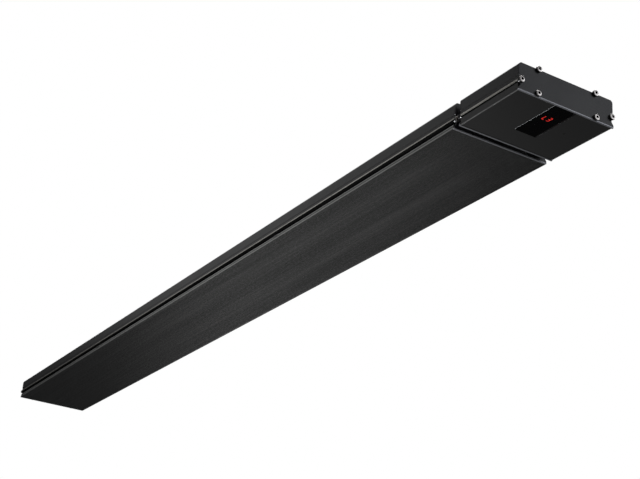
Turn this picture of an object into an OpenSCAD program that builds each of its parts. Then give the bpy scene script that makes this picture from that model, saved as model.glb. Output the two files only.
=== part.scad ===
// Radiant strip heater: a long heating casing and a short control module in line, hung from two brackets.
// X runs along the heater with the control module at the +X end, Y across it, and Z up to the ceiling side.
// The origin is under the middle of the radiating face.

/* [Body] */
// Length between the outer faces of the two outer end plates
body_l = 2220; // [1700:10:3000]
// Width over the side walls
body_w = 190; // [184:1:220]
// Height from the radiating face to the back
body_h = 49; // [48:1:60]
// Length of the control module over its end plates
module_l = 146; // [144:1:240]
// Gap between the control module and the heater
module_gap = 12; // [11:0.5:30]
// Thickness of the end plates
plate_t = 3; // [2:0.5:4]
// How far the lower lips stand out past the side walls
lip_out = 1; // [0.4:0.1:2]

/* [Back casing] */
// Wall of the extruded back casing
wall_t = 1.8; // [1.4:0.1:2.2]
// Radius of the upper corners
corner_r = 5; // [3:0.5:8]
// Height of the crease in the side wall
crease_z = 27.5; // [24:0.5:30]
// How far the side wall steps in below the crease
skirt_in = 0.6; // [0.3:0.1:1]
// Height of the side screw ports
side_port_z = 18; // [17.9:0.1:19]
// Side screw port's distance in from the side wall
side_port_in = 3.3; // [2.8:0.1:3.8]
// Distance between the two upper screw ports
top_port_pitch = 115; // [108:1:150]
// Upper screw ports' distance below the back
top_port_drop = 0.6; // [0.2:0.1:1.5]
// Distance between the two hanger rails
rail_pitch = 60; // [58:1:64]
// Width of the rail's mouth
rail_mouth_w = 8.4; // [7:0.2:10]
// Width of the rail inside
rail_in_w = 16.4; // [14:0.2:18]
// Height of the rail inside
rail_in_h = 6; // [5:0.5:7]
// Thickness of the rail's lips
rail_lip_t = 2.4; // [2:0.1:3]
// Thickness of the rail's walls and floor
rail_wall_t = 2; // [1.5:0.1:2.2]

/* [Radiating panel] */
// Thickness of the radiating panel
panel_t = 2.4; // [2:0.1:2.8]
// Height of the panel's upturned lips
panel_lip_h = 8.5; // [7.5:0.1:9]
// Thickness of the panel's upturned lips
panel_lip_t = 1.8; // [1.4:0.1:2.2]
// Distance from one fine groove of the radiating face to the next
groove_pitch = 2.5; // [2:0.1:6]
// Width of a fine groove
groove_w = 1; // [0.6:0.1:1.4]
// Depth of a fine groove
groove_d = 0.3; // [0.2:0.05:0.5]
// Plain border of the radiating face beside its lips
groove_margin = 5; // [3:0.5:12]
// Distance between the two heating rods
rod_pitch = 68; // [62:1:76]
// Radius of a heating rod
rod_r = 4; // [3.2:0.1:4.2]
// Height of the rods' axis above the radiating face
rod_z = 7.4; // [7.2:0.1:7.8]
// Number of clips along each rod
clip_count = 7; // [3:1:15]

/* [Face cover] */
// Thickness of the control module's face cover
cover_t = 2; // [1.6:0.1:2.4]
// How far the face cover lies in from the end plates' lower edges
cover_in = 0.6; // [0.5:0.1:1]
// Height of the face cover's side walls
cover_h = 13.5; // [12:0.1:13.6]
// Length of the display window
window_l = 97.4; // [94:0.2:99]
// Width of the display window
window_w = 44.4; // [40:0.2:45]
// Window's distance off the middle line
window_y = 0.7; // [0:0.1:1.2]
// How far the window's glossy face stands out of the cover's face
window_out = 0.5; // [0.2:0.05:0.5]
// Radius of the pinhole over the indicator light
pinhole_r = 1.8; // [1.7:0.1:2.4]
// Height of the display's figures
digit_h = 11.8; // [10:0.1:13]

/* [Ports and screws] */
// Outer radius of a screw port
port_r = 4.2; // [3.9:0.1:4.3]
// Radius of a screw port's bore
port_bore_r = 2.5; // [2:0.1:2.7]
// Distance between the two lower screw ports
low_port_pitch = 117.4; // [116.6:0.2:125]
// Height of the lower screw ports
low_port_z = 5.6; // [5.4:0.1:6]
// Radius of a domed screw head
head_r = 5.1; // [4.6:0.1:5.2]
// Height of a domed screw head
head_h = 4.6; // [3:0.1:5]
// Length of an end screw under its head
screw_l = 16; // [10:1:20]
// Width across the flats of the hexagon socket
socket_af = 4; // [3:0.5:5]

/* [Hangers] */
// Distance between the two hangers in their middle places
hanger_pitch = 1200; // [400:10:1250]
// Thickness of the hangers' steel
strip_t = 3; // [2.5:0.1:4]
// Length of a hanger foot along the heater
foot_l = 53; // [50:1:70]
// Width of a hanger foot across the heater
foot_w = 84; // [80:1:92]
// Height of the tilt axis above the back
pivot_h = 23; // [23:0.5:35]
// Height from the tilt axis to the underside of the ceiling plate
yoke_h = 23; // [22:0.5:40]
// Width of the ceiling plate across the heater
yoke_w = 72; // [68:1:76]
// Distance between the two slots of the ceiling plate
slot_pitch = 40; // [36:1:42]
// End to end length of a slot in the ceiling plate
slot_l = 20; // [14:1:22]
// Half the width of a slot in the ceiling plate
slot_r = 3.25; // [2.5:0.25:4]
// Tilt either way that the arc slots allow, in degrees
tilt = 45; // [20:5:45]
// Radius of the arc slots about the tilt axis
arc_r = 14; // [13.5:0.1:14.5]
// Radius of the hangers' bolts
bolt_r = 3; // [2.5:0.1:3.1]

/* [Hidden] */
$fn = 48;

// Overrun of every cut
cut = 1;
// Gap between round faces that seat on each other
seat = 0.1;
// Radial gap of a bolt or thread in its hole
thread_gap = 0.05;
// Gap between parts that slide or drop into an opening
slide_gap = 0.3;
// Turn of each hexagon socket against the one before, in degrees
socket_turn = 23;

// Places along X
x_end = body_l / 2;
mod_x1 = x_end - plate_t;
mod_x0 = x_end - module_l + plate_t;
gap_x1 = x_end - module_l;
gap_x0 = gap_x1 - module_gap;
heat_x1 = gap_x0 - plate_t;
heat_x0 = plate_t - x_end;
heat_mid = (heat_x0 + heat_x1) / 2;

// Places across and up
side_y = body_w / 2;
lip_y = side_y + lip_out;
side_port_y = side_y - side_port_in;
top_port_y = top_port_pitch / 2;
top_port_z = body_h - top_port_drop;
low_port_y = low_port_pitch / 2;
rail_y = rail_pitch / 2;
rail_out_w = rail_in_w + 2 * rail_wall_t;
rail_roof_z = body_h - rail_lip_t;
rail_floor_z = rail_roof_z - rail_in_h;
rail_under_z = rail_floor_z - rail_wall_t;
port_slit_w = port_bore_r / 2;
plate_hole_r = port_bore_r + slide_gap;
screw_r = port_bore_r - thread_gap;
head_dome_extra = 0.5;
head_dome_r = head_r + head_dome_extra;
socket_d = 2.4;
upper_ports = [
    [side_port_y, side_port_z], [top_port_y, top_port_z],
    [-side_port_y, side_port_z], [-top_port_y, top_port_z]
];
low_ports = [[low_port_y, low_port_z], [-low_port_y, low_port_z]];
six_ports = concat(upper_ports, low_ports);
flush_head_r = 4.4;
flush_head_t = 2.2;
flush_socket_af = 3;
flush_socket_d = 1.5;

// Lower outline of the end plates: lip, neck and the bead over the side screw
lip_top_z = 4.5;
neck_low_z = 9.5;
neck_in = 2.8;

// Line along the outside of the panel's lips
lip_line_z = 4.9;
lip_line_w = 1;
lip_line_d = 0.5;

// Heating rods, their saddles, clips and ends
rod_y = rod_pitch / 2;
saddle_w = 14;
rod_clip_t = 1.1;
rod_clip_l = 12;
rod_clip_grip = 2.6;
rod_clip_inset = 80;
rod_far_gap = 30;
rod_x0 = heat_x0 + rod_far_gap;
bush_r = 3.6;
bush_l = 8;
stud_r = 1.6;
stud_l = 19;
strap_t = 1.2;
strap_w = 8;
strap_eye_r = 3.8;
stud_nut_af = 6;
stud_nut_t = 2.4;

// Sheet, blanket and baffles over the rods
reflector_t = 0.6;
reflector_z = 14;
reflector_in = 12;
reflector_y = side_y - reflector_in;
cover_far_gap = 42;
cover_near_gap = 90;
blanket_x0 = heat_x0 + cover_far_gap;
blanket_l = heat_x1 - cover_near_gap - blanket_x0;
baffle_t = 1;
baffle_foot = 4;
baffle_in = 8.6;
baffle_top_z = 20;

// Spring clips on the panel's lips
lip_clip_l = 13;
lip_clip_t = 0.8;
lip_clip_drop = 3;
lip_clip_near_gap = 575;
lip_clip_x = [heat_x1 - lip_clip_near_gap, heat_x0 + lip_clip_near_gap];

// Cut-out and connection block in the cool end of the heater
cutout_r = 8;
cutout_h = 6;
cutout_gap = 62;
tab_t = 0.8;
tab_w = 6.3;
tab_h = 8;
tab_pitch = 9;
block_gap = 27;
block_l = 22;
block_w = 56;
block_low_z = 19;
block_x1 = heat_x1 - block_gap;
block_x0 = block_x1 - block_l;
rod_x1 = block_x0 - strap_t - bush_l;
lead_bite = 8;

// Joint between the two boxes
nipple_z = 25;
nipple_r = 10;
nipple_bore_r = 7.5;
nipple_flange_r = 13;
nipple_out = 7;
locknut_t = 4;
locknut_af = 26;
sleeve_in = 35;
sleeve_y = side_y - sleeve_in;
sleeve_z = 27;
sleeve_r = 7;
joint_bolt_r = 3;
nut_af = 10;
nut_t = 5;
bolt_head_t = 4;
lead_r = 1.5;
lead_pitch = 4;

// Display window, figures and display board
window_x0 = mod_x1 - window_l;
window_flange = 3;
window_flange_t = 1.6;
cover_back_z = cover_in + cover_t;
window_z = cover_in - window_out;
window_back_z = cover_back_z + window_flange_t;
digit_mid_gap = 44.6;
digit_x = mod_x1 - digit_mid_gap;
digit_y = 1.4;
digit_pitch = 9.1;
digit_w = 4.4;
digit_lean_share = 0.09;
segment_w = 1.2;
segment_t = 0.3;
digit_block_l = 16;
digit_block_w = 20;
digit_block_h = 7.7;
board_t = 1.6;
board_gap = 90;
board_x0 = mod_x1 - board_gap;
board_l = 82;
board_y0 = -38;
board_y1 = 53.5;
board_z = window_back_z + segment_t + digit_block_h;
pillar_r = 3;
pillar_in = 4.5;
pillar_bore_r = 1.25;
small_screw_r = pillar_bore_r - thread_gap;
small_head_r = 2.7;
small_head_h = 2;
small_screw_l = 7;
pillar_at = [
    [board_x0 + pillar_in, board_y0 + pillar_in], [board_x0 + board_l - pillar_in, board_y0 + pillar_in],
    [board_x0 + pillar_in, board_y1 - pillar_in], [board_x0 + board_l - pillar_in, board_y1 - pillar_in]
];
receiver_l = 6;
receiver_w = 7;
receiver_h = 5;
receiver_dome_r = 2.4;
receiver_in = 14;
receiver_x = board_x0 + receiver_in;
receiver_y = 8;
light_r = 1.5;
light_collar_r = 1.9;
light_tip_in = 0.4;
light_tip_z = cover_in + light_tip_in;
light_gap = 59.3;
light_x = mod_x1 - light_gap;
light_y = 49.4;

// Power board under the rails and what hangs from it, placed in shares of its length and width
spacer_h = 1;
spacer_r = 3.4;
power_z1 = rail_under_z - spacer_h;
power_z = power_z1 - board_t;
power_x0 = mod_x1 - board_gap;
power_l = 84;
power_w = 132;
fixing_in = 5;
fixing_at = [for (x = [power_x0 + fixing_in, power_x0 + power_l - fixing_in], s = [-1, 1]) [x, s * rail_y]];
relay_l = 19;
relay_w = 15.5;
relay_h = 15.3;
relay_shares = [[0.286, 0.394], [0.286, 0.25], [0.595, 0.394]];
core_l = 30;
core_w = 26;
core_h = 14;
coil_l = 18;
coil_w = 34;
coil_h = 12;
core_shares = [0.595, 0.03];
capacitor_r = 5;
capacitor_h = 14;
capacitor_shares = [[0.31, -0.152], [0.31, -0.258], [0.81, 0.227]];
sink_l = 34;
sink_w = 22;
sink_h = 15;
sink_base = 3;
fin_t = 1.5;
fin_count = 6;
sink_shares = [0.667, -0.341];
mains_l = 14;
mains_w = 48;
mains_low_z = 19;
mains_in = 2;
mains_x0 = power_x0 + mains_in;
earth_in = 19;
earth_y = earth_in - side_y;
earth_z = 32;
earth_r = 2;
earth_l = 14;
earth_af = 7;
earth_nut_t = 3;

// Cable gland between the rails
gland_gap = 33;
gland_x = mod_x0 + gland_gap;
gland_r = 10;
gland_bore_r = 6.5;
gland_hex_af = 27;
gland_hex_t = 5;
gland_in = 9;
gland_neck_h = 9;
gland_nut_h = 14;
gland_nut_af = 25;
gland_mouth_t = 3;
gland_nut_t = 4;
gland_locknut_af = 26;
seal_r = 8.4;
seal_bore_r = 5.5;
seal_in = 7;
seal_out = 2;
seal_h = gland_nut_h - gland_neck_h + seal_in;

// Hangers
hanger_x = [heat_mid - hanger_pitch / 2, heat_mid + hanger_pitch / 2];
slide_nut_l = 22;
slide_nut_gap = 0.2;
slide_nut_drop = 1;
slide_nut_t = rail_in_h - slide_nut_drop;
washer_r = 6.2;
washer_t = 1.6;
pivot_z = body_h + pivot_h;
arc_slot_r = bolt_r + slide_gap;
arc_wall = 3;
ear_top_r = arc_r + arc_slot_r + arc_wall;
ear_foot_w = 44;
foot_ear_x = foot_l / 2 - strip_t;
yoke_ear_x = foot_l / 2 + slide_gap;
yoke_end_x = yoke_ear_x + strip_t;
yoke_eye_r = 9;
yoke_ear_w = 34;
yoke_corner_r = 6;

// Place on the power board by shares of its length from one end and of its width from the middle line
function on_board(shares) = [power_x0 + shares[0] * power_l, shares[1] * power_w];

// Draws a section, laid out in width and height, from x0 along X for a length
module along_x(x0, len) {
    translate([x0, 0, 0]) rotate([90, 0, 90]) linear_extrude(len) children();
}

// Bar of a section between two distances from the middle line, on side s, and two heights
module bar(s, y0, y1, z0, z1) {
    translate([s > 0 ? y0 : -y1, z0]) square([y1 - y0, z1 - z0]);
}

// Disc of a section on side s
module disc(s, y, z, r) {
    translate([s * y, z]) circle(r);
}

// Draws its child on both sides of the heater's middle plane
module both_sides() {
    children();
    mirror([0, 1, 0]) children();
}

// Hexagon prism by its width across the flats
module hexagon(af, h) {
    cylinder(r = af / 2 / cos(30), h = h, $fn = 6);
}

// Round rod along X
module x_rod(r, x0, len, y, z) {
    translate([x0, y, z]) rotate([0, 90, 0]) cylinder(r = r, h = len);
}

// Hexagon prism along X
module x_hexagon(af, x0, len, y, z) {
    translate([x0, y, z]) rotate([0, 90, 0]) hexagon(af, len);
}

// Outer outline of the back above the crease, drawn in by a wall
module back_outline(inset) {
    half_w = side_y - inset;
    top_z = body_h - inset;
    low_z = crease_z - inset;
    r = corner_r - inset;
    polygon([
        [-half_w, low_z], [half_w, low_z], [half_w, top_z - r],
        [half_w - r, top_z], [r - half_w, top_z], [-half_w, top_z - r]
    ]);
    for (s = [-1, 1]) disc(s, half_w - r, top_z - r, r);
}

// Bore of a screw port and the slit by which it opens into the casing
module port_cut(y, z, slit_angle) {
    translate([y, z]) {
        circle(port_bore_r);
        rotate(slit_angle) translate([0, -port_slit_w / 2]) square([port_r + cut, port_slit_w]);
    }
}

// Cavity and mouth of the hanger rail on side s
module rail_cut(s) {
    bar(s, rail_y - rail_in_w / 2, rail_y + rail_in_w / 2, rail_floor_z, rail_roof_z);
    bar(s, rail_y - rail_mouth_w / 2, rail_y + rail_mouth_w / 2, rail_floor_z, body_h + cut);
}

// Section of the extruded back casing, shared by the heater and the control module
module casing_section() {
    difference() {
        union() {
            difference() {
                back_outline(0);
                back_outline(wall_t);
            }
            for (s = [-1, 1]) {
                bar(s, side_y - skirt_in - wall_t, side_y - skirt_in, side_port_z, crease_z + wall_t);
                disc(s, side_port_y, side_port_z, port_r);
                disc(s, top_port_y, top_port_z, port_r);
                bar(s, rail_y - rail_out_w / 2, rail_y + rail_out_w / 2, rail_under_z, body_h);
            }
        }
        for (s = [-1, 1]) {
            port_cut(s * side_port_y, side_port_z, s > 0 ? 180 : 0);
            port_cut(s * top_port_y, top_port_z, -90);
            rail_cut(s);
        }
    }
}

// Section of the radiating panel with lips, screw ports, rod saddles and fine grooves
module panel_section() {
    groove_count = floor((lip_y - groove_margin) / groove_pitch);
    difference() {
        union() {
            translate([-lip_y, 0]) square([2 * lip_y, panel_t]);
            for (s = [-1, 1]) {
                bar(s, lip_y - panel_lip_t, lip_y, 0, panel_lip_h);
                disc(s, low_port_y, low_port_z, port_r);
                bar(s, rod_y - saddle_w / 2, rod_y + saddle_w / 2, 0, rod_z);
            }
        }
        for (s = [-1, 1]) {
            port_cut(s * low_port_y, low_port_z, 90);
            disc(s, rod_y, rod_z, rod_r + seat);
            bar(s, lip_y - lip_line_d, lip_y + cut, lip_line_z - lip_line_w / 2, lip_line_z + lip_line_w / 2);
        }
        for (i = [-groove_count : groove_count]) translate([i * groove_pitch, 0]) polygon([
            [-groove_w / 2, -cut], [groove_w / 2, -cut], [groove_w / 2, 0], [0, groove_d], [-groove_w / 2, 0]
        ]);
    }
}

// Outline of the end plates: the casing's back, ears over the upper screws, and the lower lips
module plate_section() {
    half = [
        [lip_y, 0], [lip_y, lip_top_z], [side_y - neck_in, neck_low_z], [side_y - neck_in, side_port_z],
        [side_y - skirt_in, side_port_z], [side_y - skirt_in, crease_z + wall_t]
    ];
    other_half = [for (i = [len(half) - 1 : -1 : 0]) [-half[i][0], half[i][1]]];
    back_outline(0);
    polygon(concat(half, other_half));
    for (s = [-1, 1]) {
        disc(s, side_port_y, side_port_z, port_r);
        disc(s, top_port_y, top_port_z, port_r);
    }
}

// End plate with holes for its six screws
module end_plate(x0) {
    along_x(x0, plate_t) difference() {
        plate_section();
        for (p = six_ports) translate(p) circle(plate_hole_r);
    }
}

// Inner end plate, countersunk for the flat screws, with holes for the nipple and the joining bolts
module joining_plate(x0, way) {
    outer_x = way > 0 ? x0 + plate_t : x0;
    difference() {
        end_plate(x0);
        for (p = low_ports) translate([outer_x, p[0], p[1]]) rotate([0, 90 * way, 0]) {
            translate([0, 0, -flush_head_t])
                cylinder(r1 = screw_r + seat, r2 = flush_head_r + seat, h = flush_head_t);
            cylinder(r = flush_head_r + seat, h = cut);
        }
        x_rod(nipple_r + seat, x0 - cut, plate_t + 2 * cut, 0, nipple_z);
        both_sides() x_rod(joint_bolt_r + seat, x0 - cut, plate_t + 2 * cut, sleeve_y, sleeve_z);
    }
}

// Domed screw with a hexagon socket, its seat at the origin and its shank below
module end_screw() {
    difference() {
        union() {
            intersection() {
                cylinder(r = head_r, h = head_h);
                translate([0, 0, head_h - head_dome_r]) sphere(head_dome_r);
            }
            translate([0, 0, -screw_l]) cylinder(r = screw_r, h = screw_l + head_h / 2);
        }
        translate([0, 0, head_h - socket_d]) hexagon(socket_af, socket_d + cut);
    }
}

// Flat screw with a hexagon socket, flush with the plate's face at the origin and its shank below
module flush_screw() {
    difference() {
        union() {
            translate([0, 0, -flush_head_t]) cylinder(r1 = screw_r, r2 = flush_head_r, h = flush_head_t);
            translate([0, 0, -screw_l]) cylinder(r = screw_r, h = screw_l - flush_head_t / 2);
        }
        translate([0, 0, -flush_socket_d]) hexagon(flush_socket_af, flush_socket_d + cut);
    }
}

// The domed screws in some ports of an end plate, facing +X or -X
module end_screws(x, way, ports) {
    for (i = [0 : len(ports) - 1])
        translate([x, ports[i][0], ports[i][1]]) rotate([0, 90 * way, 0])
            rotate(socket_turn * i) end_screw();
}

// Hexagon bolt along X, its seat at the origin and its shank towards -X
module x_bolt(r, shank) {
    x_rod(r, -shank, shank + bolt_head_t / 2, 0, 0);
    x_hexagon(nut_af, 0, bolt_head_t, 0, 0);
}

// Hexagon nut along X, from the origin towards -X
module x_nut(r, af, t) {
    difference() {
        x_hexagon(af, -t, t, 0, 0);
        x_rod(r + thread_gap, -t - cut, t + 2 * cut, 0, 0);
    }
}

// Heater

module heater_back_casing() {
    color("#2b2c2e") along_x(heat_x0, heat_x1 - heat_x0) casing_section();
}

module radiating_panel() {
    color("#1d1d1e") along_x(heat_x0, heat_x1 - heat_x0) panel_section();
}

// Clips folded over the lips, with a tongue that stands under the casing's bead
module lip_clips() {
    in_y = lip_y - panel_lip_t - lip_clip_t;
    tongue_y = side_port_y - lip_clip_t / 2;
    top_z = panel_lip_h + lip_clip_t;
    color("#3a3b3d") for (x = lip_clip_x, s = [-1, 1]) along_x(x - lip_clip_l / 2, lip_clip_l) {
        bar(s, lip_y, lip_y + lip_clip_t, panel_lip_h - lip_clip_drop, top_z);
        bar(s, tongue_y, lip_y + lip_clip_t, panel_lip_h, top_z);
        bar(s, in_y, in_y + lip_clip_t, panel_t + lip_clip_t, top_z);
        bar(s, tongue_y, tongue_y + lip_clip_t, panel_lip_h, side_port_z - port_r - seat);
    }
}

module side_baffles() {
    out_y = side_y - baffle_in;
    color("#141414") for (s = [-1, 1]) along_x(heat_x0, heat_x1 - heat_x0) {
        bar(s, out_y - baffle_t, out_y, panel_t, baffle_top_z);
        bar(s, out_y - baffle_t, out_y + baffle_foot, panel_t, panel_t + baffle_t);
    }
}

module reflector_sheet() {
    color("silver") along_x(blanket_x0, blanket_l) {
        translate([-reflector_y, reflector_z]) square([2 * reflector_y, reflector_t]);
        for (s = [-1, 1]) bar(s, reflector_y - reflector_t, reflector_y, panel_t, reflector_z + reflector_t);
    }
}

module insulation_blanket() {
    low_z = reflector_z + reflector_t;
    color("ivory") along_x(blanket_x0, blanket_l)
        translate([-reflector_y, low_z]) square([2 * reflector_y, rail_under_z - slide_gap - low_z]);
}

module heating_rods() {
    color("#8a8d90") both_sides() {
        x_rod(rod_r, rod_x0, rod_x1 - rod_x0, rod_y, rod_z);
        x_rod(stud_r, rod_x0 - stud_l, rod_x1 - rod_x0 + 2 * stud_l, rod_y, rod_z);
    }
}

module rod_bushes() {
    color("white") for (x = [rod_x0 - bush_l, rod_x1]) both_sides() difference() {
        x_rod(bush_r, x, bush_l, rod_y, rod_z);
        x_rod(stud_r + seat, x - cut, bush_l + 2 * cut, rod_y, rod_z);
    }
}

// Spring clips that snap over the rods and grip the saddles' sides
module rod_clips() {
    first_x = rod_x0 + rod_clip_inset;
    step = (rod_x1 - rod_x0 - 2 * rod_clip_inset) / (clip_count - 1);
    in_r = rod_r + seat;
    half_w = saddle_w / 2 + seat;
    color("#b8babd") for (i = [0 : clip_count - 1], side = [-1, 1])
        along_x(first_x + i * step - rod_clip_l / 2, rod_clip_l) translate([side * rod_y, rod_z]) {
            difference() {
                circle(in_r + rod_clip_t);
                circle(in_r);
                translate([-saddle_w, -saddle_w]) square([2 * saddle_w, saddle_w]);
            }
            for (s = [-1, 1]) {
                bar(s, in_r, half_w + rod_clip_t, 0, rod_clip_t);
                bar(s, half_w, half_w + rod_clip_t, -rod_clip_grip, rod_clip_t);
            }
        }
}

// Straps that link the rods at the far end and take them to the ceramic block at the near end, with nuts
// and with eyes small enough to stand in the saddles
module link_straps() {
    far_x = rod_x0 - bush_l - strap_t;
    near_x = rod_x1 + bush_l;
    color("goldenrod") {
        difference() {
            along_x(far_x, strap_t) {
                translate([-rod_y - strap_eye_r, rod_z]) square([rod_pitch + 2 * strap_eye_r, strap_w]);
                for (s = [-1, 1]) disc(s, rod_y, rod_z, strap_eye_r);
            }
            both_sides() x_rod(stud_r + seat, far_x - cut, strap_t + 2 * cut, rod_y, rod_z);
        }
        for (s = [-1, 1]) difference() {
            along_x(near_x, strap_t) {
                disc(s, rod_y, rod_z, strap_eye_r);
                bar(s, rod_y - strap_eye_r, rod_y + strap_eye_r, rod_z, nipple_z);
                bar(s, block_w / 2 - strap_w, rod_y + strap_eye_r, nipple_z - strap_w, nipple_z);
            }
            x_rod(stud_r + seat, near_x - cut, strap_t + 2 * cut, s * rod_y, rod_z);
        }
        for (s = [-1, 1], x = [far_x, near_x + strap_t + stud_nut_t])
            translate([x, s * rod_y, rod_z]) x_nut(stud_r, stud_nut_af, stud_nut_t);
    }
}

module thermal_cutout() {
    x = heat_x1 - cutout_gap;
    color("#6f6a60") {
        translate([x, 0, panel_t]) cylinder(r = cutout_r, h = cutout_h);
        both_sides() translate([x - tab_w / 2, tab_pitch / 2 - tab_t / 2, panel_t])
            cube([tab_w, tab_t, cutout_h + tab_h]);
    }
}

// Ceramic block that hangs under the rails, bored for the three leads
module ceramic_block() {
    color("white") difference() {
        translate([block_x0, -block_w / 2, block_low_z]) cube([block_l, block_w, rail_under_z - block_low_z]);
        for (i = [-1 : 1]) x_rod(lead_r + seat, block_x0 - cut, block_l + 2 * cut, i * lead_pitch, nipple_z);
    }
}

module heater_near_end_plate() {
    color("#3b3b40") joining_plate(heat_x1, 1);
}

module heater_far_end_plate() {
    color("#3b3b40") end_plate(-x_end);
}

module heater_near_end_screws() {
    color("silver") end_screws(gap_x0, 1, upper_ports);
}

module heater_far_end_screws() {
    color("silver") end_screws(-x_end, -1, six_ports);
}

// Flat screws in the lower ports on both sides of the gap, where no head may stand out
module gap_flush_screws() {
    color("#1b1b1c") for (end = [[gap_x0, 1], [gap_x1, -1]], p = low_ports)
        translate([end[0], p[0], p[1]]) rotate([0, 90 * end[1], 0]) flush_screw();
}

// Control module

// The heater's extrusion cut short, with a hole for the gland and four for the power board's screws
module module_back_casing() {
    color("#2b2c2e") difference() {
        along_x(mod_x0, mod_x1 - mod_x0) casing_section();
        translate([gland_x, 0, rail_under_z]) cylinder(r = gland_r + seat, h = body_h);
        for (p = fixing_at) translate([p[0], p[1], rail_under_z - cut])
            cylinder(r = pillar_bore_r, h = rail_wall_t + 2 * cut);
    }
}

module face_cover() {
    color("#232324") difference() {
        along_x(mod_x0, mod_x1 - mod_x0) difference() {
            union() {
                translate([-side_y, cover_in]) square([body_w, cover_t]);
                for (s = [-1, 1]) {
                    bar(s, side_y - wall_t, side_y, cover_in, cover_h);
                    disc(s, low_port_y, low_port_z, port_r);
                }
            }
            for (s = [-1, 1]) port_cut(s * low_port_y, low_port_z, 90);
        }
        translate([window_x0, window_y - window_w / 2, -cut])
            cube([window_l + cut, window_w, cover_back_z + 2 * cut]);
        translate([light_x, light_y, -cut]) cylinder(r = pinhole_r, h = cover_back_z + 2 * cut);
    }
}

// Dark window: a pad that fills the opening and a flange behind it
module display_window() {
    pad_w = window_w - 2 * slide_gap;
    flange_w = window_w + 2 * window_flange;
    color("#0c0d10") {
        translate([window_x0 + slide_gap, window_y - pad_w / 2, window_z])
            cube([window_l - slide_gap, pad_w, window_back_z - window_z]);
        translate([window_x0 - window_flange, window_y - flange_w / 2, cover_back_z])
            cube([window_l + window_flange, flange_w, window_flange_t]);
    }
}

module digit_block() {
    color("#26262a") translate([digit_x, digit_y, window_back_z + segment_t])
        linear_extrude(digit_block_h) square([digit_block_l, digit_block_w], center = true);
}

// One bar of a figure between two points, pointed at both ends; x is up the figure and y to its right
module segment_bar(a, b) {
    way = (b - a) / norm(b - a);
    side = [-way[1], way[0]] * segment_w / 2;
    in = way * segment_w / 2;
    tip = way * segment_w / 8;
    outline = [a + tip, a + in + side, b - in + side, b - tip, b - in - side, a + in - side];
    polygon([for (p = outline) [p[0], p[1] + p[0] * digit_lean_share]]);
}

// Figure made of the bars that are lit: top, right upper, right lower, bottom, left lower, left upper, middle
module figure(lit) {
    up = (digit_h - segment_w) / 2;
    out = digit_w / 2;
    bars = [
        [[up, -out], [up, out]], [[up, out], [0, out]], [[0, out], [-up, out]], [[-up, -out], [-up, out]],
        [[-up, -out], [0, -out]], [[0, -out], [up, -out]], [[0, -out], [0, out]]
    ];
    for (i = lit) segment_bar(bars[i][0], bars[i][1]);
}

// Lit bars of the letter L and the figure 3, read from below with +X up
module digit_segments() {
    color("red") translate([digit_x, digit_y, window_back_z]) linear_extrude(segment_t) {
        translate([0, -digit_pitch / 2]) figure([3, 4, 5]);
        translate([0, digit_pitch / 2]) figure([0, 1, 6, 2, 3]);
    }
}

module display_board() {
    color("darkgreen") difference() {
        translate([board_x0, board_y0, board_z]) cube([board_l, board_y1 - board_y0, board_t]);
        for (p = pillar_at) translate([p[0], p[1], board_z - cut])
            cylinder(r = pillar_bore_r + slide_gap, h = board_t + 2 * cut);
    }
}

module board_pillars() {
    color("gainsboro") for (p = pillar_at) translate([p[0], p[1], cover_back_z]) difference() {
        cylinder(r = pillar_r, h = board_z - cover_back_z);
        translate([0, 0, -cut]) cylinder(r = pillar_bore_r, h = board_z + 2 * cut);
    }
}

// Small pan head screw, its seat at the origin and its shank below
module small_screw() {
    cylinder(r = small_head_r, h = small_head_h);
    translate([0, 0, -small_screw_l]) cylinder(r = small_screw_r, h = small_screw_l + small_head_h / 2);
}

module board_screws() {
    color("silver") for (p = pillar_at) translate([p[0], p[1], board_z + board_t]) small_screw();
}

module infrared_receiver() {
    color("#1a1a1c") translate([receiver_x, receiver_y, board_z - receiver_h]) {
        translate([-receiver_l / 2, -receiver_w / 2, 0]) cube([receiver_l, receiver_w, receiver_h]);
        sphere(receiver_dome_r);
    }
}

module indicator_light() {
    color("lightyellow") translate([light_x, light_y, 0]) {
        translate([0, 0, light_tip_z + light_r]) {
            sphere(light_r);
            cylinder(r = light_r, h = board_z - light_tip_z - light_r);
        }
        translate([0, 0, window_back_z]) cylinder(r = light_collar_r, h = board_t);
    }
}

module power_board() {
    color("darkgreen") difference() {
        translate([power_x0, -power_w / 2, power_z]) cube([power_l, power_w, board_t]);
        for (p = fixing_at) translate([p[0], p[1], power_z - cut])
            cylinder(r = pillar_bore_r + slide_gap, h = board_t + 2 * cut);
    }
}

// Spacers between the power board and the rails, and the screws that hold it up
module power_board_fixings() {
    color("silver") for (p = fixing_at) {
        translate([p[0], p[1], power_z1]) difference() {
            cylinder(r = spacer_r, h = spacer_h);
            translate([0, 0, -cut]) cylinder(r = pillar_bore_r, h = spacer_h + 2 * cut);
        }
        translate([p[0], p[1], power_z]) mirror([0, 0, 1]) small_screw();
    }
}

module relays() {
    color("midnightblue") for (shares = relay_shares)
        translate(on_board(shares) - [relay_l / 2, relay_w / 2]) translate([0, 0, power_z - relay_h])
            cube([relay_l, relay_w, relay_h]);
}

module transformer() {
    color("dimgray") translate(on_board(core_shares)) {
        translate([-core_l / 2, -core_w / 2, power_z - core_h]) cube([core_l, core_w, core_h]);
        translate([-coil_l / 2, -coil_w / 2, power_z - coil_h]) cube([coil_l, coil_w, coil_h]);
    }
}

module capacitors() {
    color("black") for (shares = capacitor_shares) translate(on_board(shares))
        translate([0, 0, power_z - capacitor_h]) cylinder(r = capacitor_r, h = capacitor_h);
}

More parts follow.
